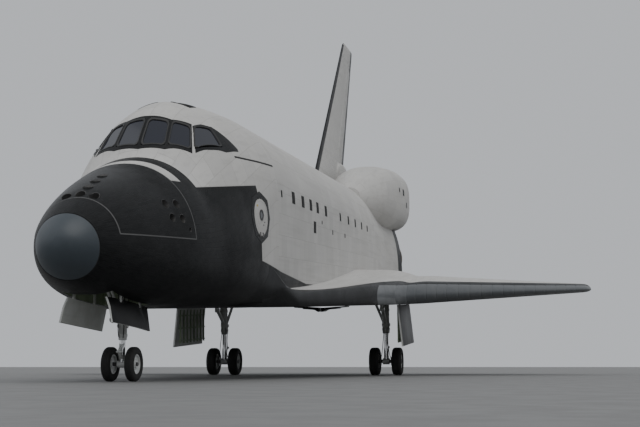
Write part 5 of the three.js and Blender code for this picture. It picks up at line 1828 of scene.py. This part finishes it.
def bell_mesh(at, direction, sizes, sides=96):
    """A nozzle: its outer wall, a rolled lip and its inner wall down to the throat."""
    start = Vector(at)
    base, length, wall = sizes["block_length"], sizes["length"], sizes["wall"]
    ts = [share ** 1.3 for share in spread(0, 1, 31)]
    outer = [(base + length * t, bell_radius(sizes, t) - 0.004) for t in ts]
    lip = [(base + length - 0.002, sizes["exit"] - wall * 0.5)]
    inner = [(base + length * t - (0.004 if t == 1 else 0), bell_radius(sizes, t) - wall)
             for t in reversed(ts)]
    inner[-1] = (base + 0.02 * length, sizes["throat"] - wall)
    throat = [(base * 0.93, sizes["throat"] * 0.6), (base * 0.86, sizes["throat"] * 0.42),
              (base * 0.7, 0.02)]
    profile = [(base - 0.03, sizes["throat"] * 0.8)] + outer + lip + inner + throat
    mesh = turned(start, start + direction, profile, sides)
    for face in mesh.polygons:
        offset = face.center - start
        radius = (offset - direction * offset.dot(direction)).length
        t = max(0.0, min(1.0, (offset.dot(direction) - base) / length))
        face.material_index = 1 if radius < bell_radius(sizes, t) - wall * 0.6 else 0
    return mesh


def engine_hoops(at, direction, sizes, shares, thick):
    """Stiffening hoops round a nozzle."""
    made = []
    for t in shares:
        d = sizes["block_length"] + sizes["length"] * t
        r = bell_radius(sizes, t)
        profile = [(d - thick, r - 0.01), (d - thick * 0.7, r + thick * 0.9),
                   (d + thick * 0.7, r + thick * 0.9), (d + thick, r - 0.01), (d, r - 0.02)]
        made.append(hoop(bar_rings(at, Vector(at) + direction, profile, 84)))
    return made


# Cans round an engine's machinery: angle, radius, start, end, reach
PUMPS = [(20, 0.24, 0.2, 0.92, 0.66), (110, 0.2, 0.3, 0.9, 0.68), (200, 0.22, 0.22, 0.9, 0.66),
         (300, 0.17, 0.3, 0.85, 0.7)]


def engine_block(at, direction, sizes):
    """The machinery in front of a nozzle: a manifold, turbopump cans and pipes."""
    start = Vector(at)
    a, b = frame_along(direction)
    k, length = sizes["block"], sizes["block_length"]

    def around(degrees):
        turn = math.radians(degrees)
        return a * math.cos(turn) + b * math.sin(turn)

    made = [turned(start, start + direction,
                   [(0.0, 0.24 * k), (0.06, 0.36 * k), (0.28 * length, 0.46 * k), (0.6 * length, 0.42 * k),
                    (0.8 * length, 0.5 * k), (length, 0.62 * k)], 40)]
    for angle, radius, low, high, off in PUMPS:
        can = start + around(angle) * off * k + direction * low * length
        profile = [(0, radius * k * 0.6), (0.05 * length, radius * k), (0.5 * length, radius * k),
                   ((high - low) * length, radius * k * 0.7)]
        made.append(turned(can, can + direction, profile, 28))
    for angle in range(0, 360, 45):
        bends = [(0.5, angle, 0.45), (0.75, angle, 0.86), (0.93, angle + 38, 0.72)]
        path = [start + direction * (share * length) + around(turn) * reach * k
                for share, turn, reach in bends]
        made.append(tube(path, 0.05 * k, 12))
    return joined(made)


def show_engine(name, at, direction, sizes, outside, sides, shares, thick):
    """A nozzle with its hoops and its machinery."""
    stand_in(name, bell_mesh(at, direction, sizes, sides), [outside, BELL_INSIDE], "nozzle", smooth=35)
    show(f"{name}_hoops", engine_hoops(at, direction, sizes, shares, thick), HOOP, "nozzle")
    show(f"{name}_machinery", engine_block(at, direction, sizes), DARK_METAL, "nozzle")


def build_engines():
    """Three main engines, and one in each pod."""
    shares = (0.03, 0.14, 0.25, 0.36, 0.47, 0.58, 0.69, 0.8, 0.9, 0.985)
    for name, at, up, out in ENGINE_ROWS:
        show_engine(name, at, aim(up, out), MAIN_ENGINE, BELL, 96, shares, 0.028)
    for label, side in SIDES:
        at = (POD_ENGINE_AT[0], side * POD_ENGINE_AT[1], POD_ENGINE_AT[2])
        show_engine(f"{label}_pod_engine", at, aim(15.8, side * 6.5), POD_ENGINE, POD_BELL, 72,
                    (0.1, 0.55, 0.97), 0.014)


# Landing gear: the main axles and the nose axle stand upright over the ground the craft leans on
MAIN_GEAR = {"x": 24.079, "y": 3.454, "ground": -2.892, "radius": 0.565, "width": 0.406, "spacing": 0.464,
             "bore": 0.074}
NOSE_GEAR = {"x": 3.56, "y": 0.0, "radius": 0.406, "width": 0.224, "spacing": 0.29, "bore": 0.048}
# Half a tyre's tread, as shares of its flat width and its radius, and half a rim
TREAD = [(0.08, 0.999), (0.10, 0.974), (0.14, 0.974), (0.16, 0.999), (0.38, 0.998), (0.40, 0.972),
         (0.44, 0.972), (0.46, 0.996), (0.62, 0.985)]
RIM = [(0.86, 0.34), (0.5, 0.36), (0.34, 0.6), (0.55, 0.86)]
UPRIGHT = Vector((math.sin(PARKED_PITCH), 0, math.cos(PARKED_PITCH)))
FORWARD = Vector((-math.cos(PARKED_PITCH), 0, math.sin(PARKED_PITCH)))


def axle_of(gear):
    ground = MAIN_GEAR["ground"] - (gear["x"] - MAIN_GEAR["x"]) * math.tan(PARKED_PITCH)
    return Vector((gear["x"], gear["y"], ground)) + UPRIGHT * gear["radius"]


def mirrored(half):
    """A whole profile across y from the half on its positive side."""
    return [(-y, radius) for y, radius in reversed(half)] + half


def wheel_parts(centre, gear):
    """Tyre with ribs, and rim with bolts, of one wheel that turns about y."""
    r, w = gear["radius"], gear["width"]
    bead, a, b = 0.56 * r, w / 2, w * 0.36
    start, axis = Vector(centre), Vector((0, 1, 0))
    wall = [(a * 0.8, r * 0.945), (a * 0.95, r * 0.86), (a * 0.985, r * 0.76), (a * 0.93, bead * 1.14),
            (b - 0.002, bead + 0.004)]
    tyre = [(y * a, radius * r) for y, radius in TREAD] + wall
    rim = [(b * 0.86, gear["bore"])] + [(b * y, bead * radius) for y, radius in RIM]
    rim += [(b, bead - 0.02), (b, bead)]
    bolts = []
    for k in range(12):
        turn = 2 * math.pi * k / 12
        p = start + Vector((math.cos(turn), 0, math.sin(turn))) * bead * 0.5
        bolts.append(rod(p - axis * b * 0.62, p + axis * b * 0.62, 0.012, 8, 0.003))
    made = [hoop(bar_rings(start, start + axis, mirrored(half), sides))
            for half, sides in ((tyre, 96), (rim, 72))]
    return made[0], joined([made[1]] + bolts)


def hose_pair(rows, radius):
    """Two hoses, one on each side, through rows of a point and its shift aft, out and up."""
    return [tube(smooth_path([shifted(p, x, side * y, z) for p, x, y, z in rows]), radius)
            for side in (-1, 1)]


def main_leg_castings(axle, trunnion):
    """The painted cylinder, its trunnion, braces, torque links and hub."""
    up = UPRIGHT
    foot, brace_foot, brace_top = axle + up * 1.15, axle + up * 1.5, Vector((22.0, MAIN_GEAR["y"], 0.5))
    reach = (trunnion - foot).length
    middle = (brace_top + brace_foot) / 2
    knee = shifted(axle + up * 0.56, 0.33)
    profile = [(0, 0.13), (0.015, 0.15), (0.1, 0.15), (0.12, 0.165), (0.2, 0.165), (0.22, 0.15),
               (reach * 0.55, 0.152), (reach * 0.56, 0.168), (reach * 0.62, 0.168), (reach * 0.63, 0.155),
               (reach - 0.1, 0.162), (reach, 0.15)]
    trunnion_ends = [(trunnion.x, y, trunnion.z) for y in (MAIN_WELL["y0"] + 0.004, MAIN_WELL["y1"] - 0.004)]
    return [
        turned(foot, trunnion, profile, 48), rod(*trunnion_ends, 0.092, 40),
        rod(brace_foot, middle, 0.072, 28), rod(middle, brace_top, 0.06, 28),
        pin(middle, 0.09, 0.09, 32), pin(brace_foot, 0.17, 0.07, 32),
        rod(axle + up * 1.35, shifted(trunnion, 0, -0.56), 0.056),
        link_plate(axle + up * 0.13, knee, 0.075, 0.2),
        link_plate(shifted(axle + up * 1.18, 0.06), knee, 0.075, 0.2),
        pin(knee, 0.1, 0.045), pin(axle, 0.14, 0.13, 40),
    ]


def main_leg_parts():
    """A main leg on the starboard side: painted castings, bright piston, hoses and the brake stacks."""
    axle, trunnion, up = axle_of(MAIN_GEAR), Vector((23.98, MAIN_GEAR["y"], 0.45)), UPRIGHT
    dark = [pin(axle, 0.636, 0.069, 32)]
    wheel = MAIN_GEAR["spacing"]
    for from_y, to_y, radius, sides, edge in ((wheel + 0.15, wheel + 0.172, 0.1, 24, 0.006),
                                              (wheel - 0.2 - 0.055, wheel - 0.2, 0.2, 48, 0.012)):
        for side in (-1, 1):
            ends = [shifted(axle, 0, side * y) for y in (from_y, to_y)]
            dark.append(rod(*ends, radius, sides, edge))
    hoses = hose_pair([(trunnion, -0.1, 0.06, -0.25), (axle + up * 1.7, -0.18, 0.06, 0),
                       (axle + up * 1.2, -0.19, 0.07, 0), (axle + up * 0.75, -0.27, 0.1, 0),
                       (axle + up * 0.35, -0.2, 0.15, 0), (axle, -0.1, 0.215, 0.08)], 0.014)
    return {"white": main_leg_castings(axle, trunnion),
            "chrome": [rod(axle + up * 0.05, axle + up * 1.2, 0.096, 48)], "dark": dark, "hose": hoses}


def smooth_path(points, count=28):
    """A rounded path through a row of points."""
    out = []
    pts = [Vector(p) for p in points]
    for i in range(len(pts) - 1):
        p0, p1, p2, p3 = pts[max(0, i - 1)], pts[i], pts[i + 1], pts[min(len(pts) - 1, i + 2)]
        steps = max(2, count // (len(pts) - 1))
        for k in range(steps):
            t = k / steps
            out.append(tuple(0.5 * (2 * p1 + (p2 - p0) * t + (2 * p0 - 5 * p1 + 4 * p2 - p3) * t * t
                                    + (3 * p1 - p0 - 3 * p2 + p3) * t ** 3)))
    out.append(tuple(pts[-1]))
    return out


def link_plate(a, b, thick, width):
    """An arm of a torque link that tapers towards the knee."""
    a, b = Vector(a), Vector(b)
    d = (b - a).normalized()
    lift = d.cross(Vector((0, 1, 0))).normalized() * thick / 2
    rings = []
    for t, w in ((0, 0.9), (0.12, 1.0), (0.5, 0.62), (0.88, 0.5), (1, 0.42)):
        c = a.lerp(b, t)
        y = Vector((0, width / 2 * w, 0))
        rings.append([tuple(c - y - lift), tuple(c + y - lift), tuple(c + y + lift), tuple(c - y + lift)])
    return bevelled(loft(rings), 0.01, 2, 35)


def nose_leg_parts():
    """The nose leg above the fork: painted cylinder and braces, lamps and hoses."""
    axle, up = axle_of(NOSE_GEAR), UPRIGHT
    top, foot, brace_top = axle + up * 2.05, axle + up * 0.9, Vector((2.35, 0, 0.88))
    reach = NOSE_WELL["half"] - 0.004
    profile = [(0, 0.088), (0.012, 0.1), (0.07, 0.1), (0.09, 0.112), (0.14, 0.112), (0.16, 0.1),
               (0.75, 0.104), (0.77, 0.118), (0.83, 0.118), (0.85, 0.106), (1.42, 0.112), (1.487, 0.1)]
    white = [turned(axle + up * 0.563, top, profile, 40), pin(top, reach, 0.068, 32)]
    white += [rod(shifted(foot, 0, y), shifted(brace_top, 0, y), 0.034, 20) for y in (-0.05, 0.05)]
    white += [pin(brace_top, reach, 0.048), pin(foot, 0.13, 0.06)]
    dark = []
    centre = axle + up * 1.05
    for side in (-1, 1):
        lamp = shifted(centre, -0.16, side * 0.19)
        dark.append(turned(lamp, lamp + FORWARD, [(-0.06, 0.03), (0, 0.075), (0.03, 0.08), (0.034, 0.07)],
                           28))
        dark.append(rod(centre, lamp, 0.016, 12, 0.003))
    hoses = hose_pair([(top, -0.1, 0.06, -0.1), (axle + up * 1.4, -0.14, 0.08, 0),
                       (axle + up * 0.8, -0.13, 0.07, 0), (axle + up * 0.62, -0.105, 0.05, 0)], 0.011)
    return {"white": white, "dark": dark, "hose": hoses}


def nose_fork_parts():
    """The part of the nose leg that steers: hub, torque links, bright piston and axle."""
    axle, up = axle_of(NOSE_GEAR), UPRIGHT
    knee = shifted(axle + up * 0.3, -0.21)
    white = [pin(axle, 0.11, 0.085, 32), link_plate(axle + up * 0.09, knee, 0.05, 0.13),
             link_plate(axle + up * 0.5, knee, 0.05, 0.13), pin(knee, 0.07, 0.03, 20)]
    return {"white": white, "chrome": [rod(axle + up * 0.04, axle + up * 0.5597, 0.07, 40, 0.001)],
            "dark": [pin(axle, 0.399, 0.0445, 28, 0.004)]}


# Finish and slot of each kind of piece of the legs
GEAR_FINISH = {"white": (GEAR_WHITE, "gear_paint"), "chrome": (CHROME, "gear_paint"),
               "dark": (DARK_METAL, "structure"), "hose": (HOSE, "structure")}


def show_parts(name, parts, body="airframe", side=1):
    """Shows the pieces of a leg; the painted one stands for the node."""
    for kind, meshes in parts.items():
        material, slot = GEAR_FINISH[kind]
        mesh = sided(joined(meshes), side)
        if kind == "white":
            stand_in(name, mesh, material, slot, body, 40)
        else:
            show(f"{name}_{kind}", mesh, material, slot, body, smooth=40)


def show_wheel(tyre_name, rim_name, centre, gear, body):
    tyre, rim = wheel_parts(centre, gear)
    stand_in(tyre_name, tyre, RUBBER, "tyre_rubber", body, 35)
    stand_in(rim_name, rim, GEAR_WHITE, "gear_paint", body, 35)


def build_gear():
    main, nose = axle_of(MAIN_GEAR), axle_of(NOSE_GEAR)
    for label, side in SIDES:
        show_parts(f"{label}_main_gear_leg", main_leg_parts(), side=side)
        for offset, which in ((-1, "inner"), (1, "outer")):
            centre = (main.x, side * (main.y + offset * MAIN_GEAR["spacing"]), main.z)
            show_wheel(f"{label}_main_tyre_{which}", f"{label}_main_wheel_{which}", centre, MAIN_GEAR,
                       f"{label}_main_wheels")
        centre = (nose.x, side * NOSE_GEAR["spacing"], nose.z)
        show_wheel(f"{label}_nose_tyre", f"{label}_nose_wheel", centre, NOSE_GEAR, "nose_wheels")
    show_parts("nose_gear_leg", nose_leg_parts())
    show_parts("nose_gear_fork", nose_fork_parts(), "nose_fork")


def gear_door_ribs():
    """Ribs and stringers inside the starboard main gear door."""
    x0, x1, y1 = MAIN_WELL["x0"], MAIN_WELL["x1"], MAIN_WELL["y1"] - 0.024
    ribs = [block(x - 0.02, x + 0.02, y1 - 0.065, y1, -1.45, -0.12, 0.004)
            for x in spread(x0 + 0.3, x1 - 0.3, 8)]
    ribs += [block(x0 + 0.15, x1 - 0.15, y1 - 0.055, y1, z - 0.018, z + 0.018, 0.004)
             for z in (-0.35, -0.85, -1.35)]
    return joined(ribs)


def build_gear_doors():
    """The gear doors keep their solid's shape, with eased edges, inner ribs and black outer tiles."""
    ribs = gear_door_ribs()
    for label, side in SIDES:
        for name in (f"{label}_main_gear_door", f"{label}_nose_gear_door"):
            lid = bevelled(copied(name), 0.006)
            for face in lid.polygons:
                face.material_index = 0 if face.normal.y * side > 0.35 else 1
            stand_in(name, lid, [BELLY_TILES, LINER], "black_tile")
    for label, side in SIDES:
        show(f"{label}_gear_door_ribs", sided(ribs, side), PRIMER, "structure")


# Cabin: floor, instrument panel, console and two padded seats
def inner_half(x, z):
    """Half the cabin's inside width at a height."""
    ring = [(y, h) for _, y, h in hull_ring(x, SKIN + 0.006) if y >= 0]
    best = 0.02
    for (ya, za), (yb, zb) in zip(ring, ring[1:]):
        if min(za, zb) <= z <= max(za, zb) and abs(zb - za) > 1e-9:
            best = max(best, ya + (yb - ya) * (z - za) / (zb - za))
    return best


def deck_plate(x0, x1, z0, z1):
    """A floor that reaches the cabin's walls."""
    rings = []
    for x in spread(x0, x1, 24):
        low, high = inner_half(x, z0), inner_half(x, z1)
        rings.append([(x, -low, z0), (x, low, z0), (x, high, z1), (x, -high, z1)])
    return loft(rings)


PANEL_FOOT, PANEL_HEIGHT = 3.08, 0.77


def panel_face(t):
    """Station of the instrument panel's face at a share of its height."""
    return 5.055 - 0.1 * smoothstep(t, 0.1, 0.9)


def instrument_panel():
    """A panel across the front of the cabin, sloped forward to its brow."""
    rings = []
    for t in spread(0, 1, 9):
        z = PANEL_FOOT + PANEL_HEIGHT * t
        x0, x1 = 4.766 + 0.05 * t, panel_face(t)
        a, b = inner_half(x0, z), inner_half(x1, z)
        rings.append([(x0, -a, z), (x1, -b, z), (x1, b, z), (x0, a, z)])
    return loft(rings)


# Screens: middle y, middle z, width, height
SCREENS = [(-0.98, 3.5, 0.2, 0.2), (-0.7, 3.5, 0.2, 0.2), (-0.42, 3.5, 0.2, 0.2), (-0.14, 3.5, 0.2, 0.2),
           (0.14, 3.5, 0.2, 0.2), (0.42, 3.5, 0.2, 0.2), (0.7, 3.5, 0.2, 0.2), (0.98, 3.5, 0.2, 0.2),
           (-0.84, 3.25, 0.22, 0.16), (0, 3.25, 0.22, 0.16), (0.84, 3.25, 0.22, 0.16)]
BEZEL = 0.016


def build_cabin():
    """The flight deck with its panel, keys and screens, and the seats."""
    structure = [deck_plate(4.712, 8.552, 3.024, 3.088), instrument_panel(),
                 block(4.99, 5.99, -0.25, 0.25, 3.08, 3.44, 0.03)]
    for x in (5.2, 5.45, 5.7):
        for y in (-0.14, 0, 0.14):
            structure.append(block(x - 0.08, x + 0.08, y - 0.05, y + 0.05, 3.435, 3.468, 0.006))
    stand_in("flight_deck", structure, STRUCTURE, "structure")
    screens, bezels = [], []
    for y, z, width, height in SCREENS:
        x = panel_face((z - PANEL_FOOT) / PANEL_HEIGHT)
        for made, reach, rim in ((screens, 0.012, 0), (bezels, 0.006, BEZEL)):
            w, h = width / 2 + rim, height / 2 + rim
            made.append(block(x - 0.03, x + reach, y - w, y + w, z - h, z + h, 0.004))
    show("cabin_screens", screens, SCREEN, "glazing")
    show("cabin_bezels", bezels, FRAME_BLACK, "structure")
    for name, y in (("commander_seat", -0.62), ("pilot_seat", 0.62)):
        build_seat(name, y)


DECK_TOP = 3.0903  # where the seats stand


def pillow(low, high, radius, bulge, axis):
    """A stuffed cushion: round edges, and a swell along one axis."""
    middle = (Vector(low) + Vector(high)) / 2
    half = (Vector(high) - Vector(low)) / 2
    form = bmesh.new()
    bmesh.ops.create_cube(form, size=2)
    bmesh.ops.subdivide_edges(form, edges=form.edges[:], cuts=11, use_grid_fill=True)
    across = [i for i in range(3) if i != axis]
    for vert in form.verts:
        share = vert.co.copy()
        q = Vector([share[i] * half[i] for i in range(3)])
        core = Vector([max(-(half[i] - radius), min(half[i] - radius, q[i])) for i in range(3)])
        d = q - core
        if d.length > 1e-9:
            q = core + d.normalized() * radius
        swell = (1 - share[across[0]] ** 2) * (1 - share[across[1]] ** 2)
        q[axis] += math.copysign(bulge * swell, share[axis]) if abs(share[axis]) > 1e-6 else 0
        vert.co = middle + q
    mesh = bpy.data.meshes.new("form")
    form.to_mesh(mesh)
    form.free()
    return mesh


def build_seat(name, y):
    """A seat: its frame on two rails, three stuffed cushions, and belts."""
    z = DECK_TOP
    metal = [block(5.905, 6.045, y - 0.15, y + 0.15, z, z + 0.27, 0.012),
             block(5.58, 6.14, y - 0.235, y + 0.235, z + 0.262, z + 0.3, 0.012),
             block(6.17, 6.212, y - 0.235, y + 0.235, z + 0.3, z + 1.16, 0.012)]
    for rail in (y - 0.2, y + 0.2):
        metal.append(rod((5.6, rail, z + 0.02), (6.14, rail, z + 0.02), 0.018, 16))
        metal.append(rod((5.7, rail, z + 0.02), (5.95, rail, z + 0.27), 0.014, 14))
    show(f"{name}_frame", metal, DARK_METAL, "structure")
    cushions = [pillow((5.565, y - 0.245, z + 0.295), (6.12, y + 0.245, z + 0.385), 0.04, 0.012, 2),
                pillow((6.085, y - 0.245, z + 0.42), (6.175, y + 0.245, z + 1.17), 0.04, 0.01, 0),
                pillow((6.08, y - 0.145, z + 1.175), (6.2, y + 0.145, z + 1.395), 0.05, 0.008, 0)]
    piece = stand_in(name, cushions, SEAT_CLOTH, "seat_fabric", smooth=60)
    belts = []
    for side in (-1, 1):
        path = [(6.08, y + side * 0.09, z + 1.1), (6.072, y + side * 0.09, z + 0.8),
                (6.066, y + side * 0.07, z + 0.5), (5.95, y + side * 0.04, z + 0.408),
                (5.85, y + side * 0.03, z + 0.404)]
        belts.append(tube(smooth_path(path), 0.009, 8))
    belts.append(block(5.82, 5.88, y - 0.035, y + 0.035, z + 0.396, z + 0.418, 0.006))
    show(f"{name}_belts", belts, HOSE, "seat_fabric")


# Floor, light and camera
def build_stage():
    """A floor that the wheels stand on, and soft lights over it."""
    place = (0, 0, -FLOOR["gap"])
    bpy.ops.mesh.primitive_circle_add(vertices=128, radius=FLOOR["radius"], fill_type="NGON", location=place)
    floor = bpy.context.object
    floor.name = "floor"
    floor.data.materials.append(FLOOR_FINISH)
    for name, turn, power, width, colour in LIGHTS:
        lamp = bpy.data.lights.new(name, "SUN")
        lamp.energy = power
        lamp.angle = math.radians(width)
        lamp.color = colour
        piece = bpy.data.objects.new(name, lamp)
        piece.rotation_euler = [math.radians(a) for a in turn]
        bpy.context.scene.collection.objects.link(piece)


FLOOR = {"radius": 900, "gap": 0.002}
FLOOR_FINISH = worn("grey_floor", (0.20, 0.20, 0.198, 1), (0.185, 0.185, 0.183, 1), 0.7, blotch=1.5,
                    bump=0.0004)
SKY = {"colour": (0.60, 0.62, 0.65, 1), "strength": 0.93}
# Soft lights: name, turn in degrees, strength, width in degrees, colour
LIGHTS = [
    ("key", (38, 0, -62), 1.1, 55, (1.0, 0.985, 0.96)),
    ("fill", (60, 0, 205), 0.35, 70, (0.93, 0.96, 1.0)),
]


def build_world():
    """An even, slightly blue sky."""
    world = bpy.data.worlds.new("sky")
    world.use_nodes = True
    back = world.node_tree.nodes["Background"]
    back.inputs["Color"].default_value = SKY["colour"]
    back.inputs["Strength"].default_value = SKY["strength"]
    bpy.context.scene.world = world


def build_camera():
    lens = bpy.data.cameras.new("camera")
    lens.lens = CAMERA["lens"]
    lens.clip_end = CAMERA["sight"]
    camera = bpy.data.objects.new("camera", lens)
    place, aim_at = Vector(CAMERA["place"]), Vector(CAMERA["aim"])
    camera.location = place
    camera.rotation_euler = (aim_at - place).to_track_quat("-Z", "Y").to_euler()
    bpy.context.scene.collection.objects.link(camera)
    bpy.context.scene.camera = camera


CAMERA = {"place": (-39.3, -9.7, 0.35), "aim": (-0.1, -1.9, 5.9), "lens": 62, "sight": 1000}

build_nose()
build_windows()
build_hatch()
build_mid()
build_doors()
build_aft()
build_umbilical_doors()
build_wings()
build_body_flap()
build_fin()
build_pods()
build_engines()
build_gear()
build_gear_doors()
build_cabin()
build_stage()
build_world()
build_camera()
for spare in [m for m in bpy.data.materials if m.name.startswith("blank_")]:
    bpy.data.materials.remove(spare)
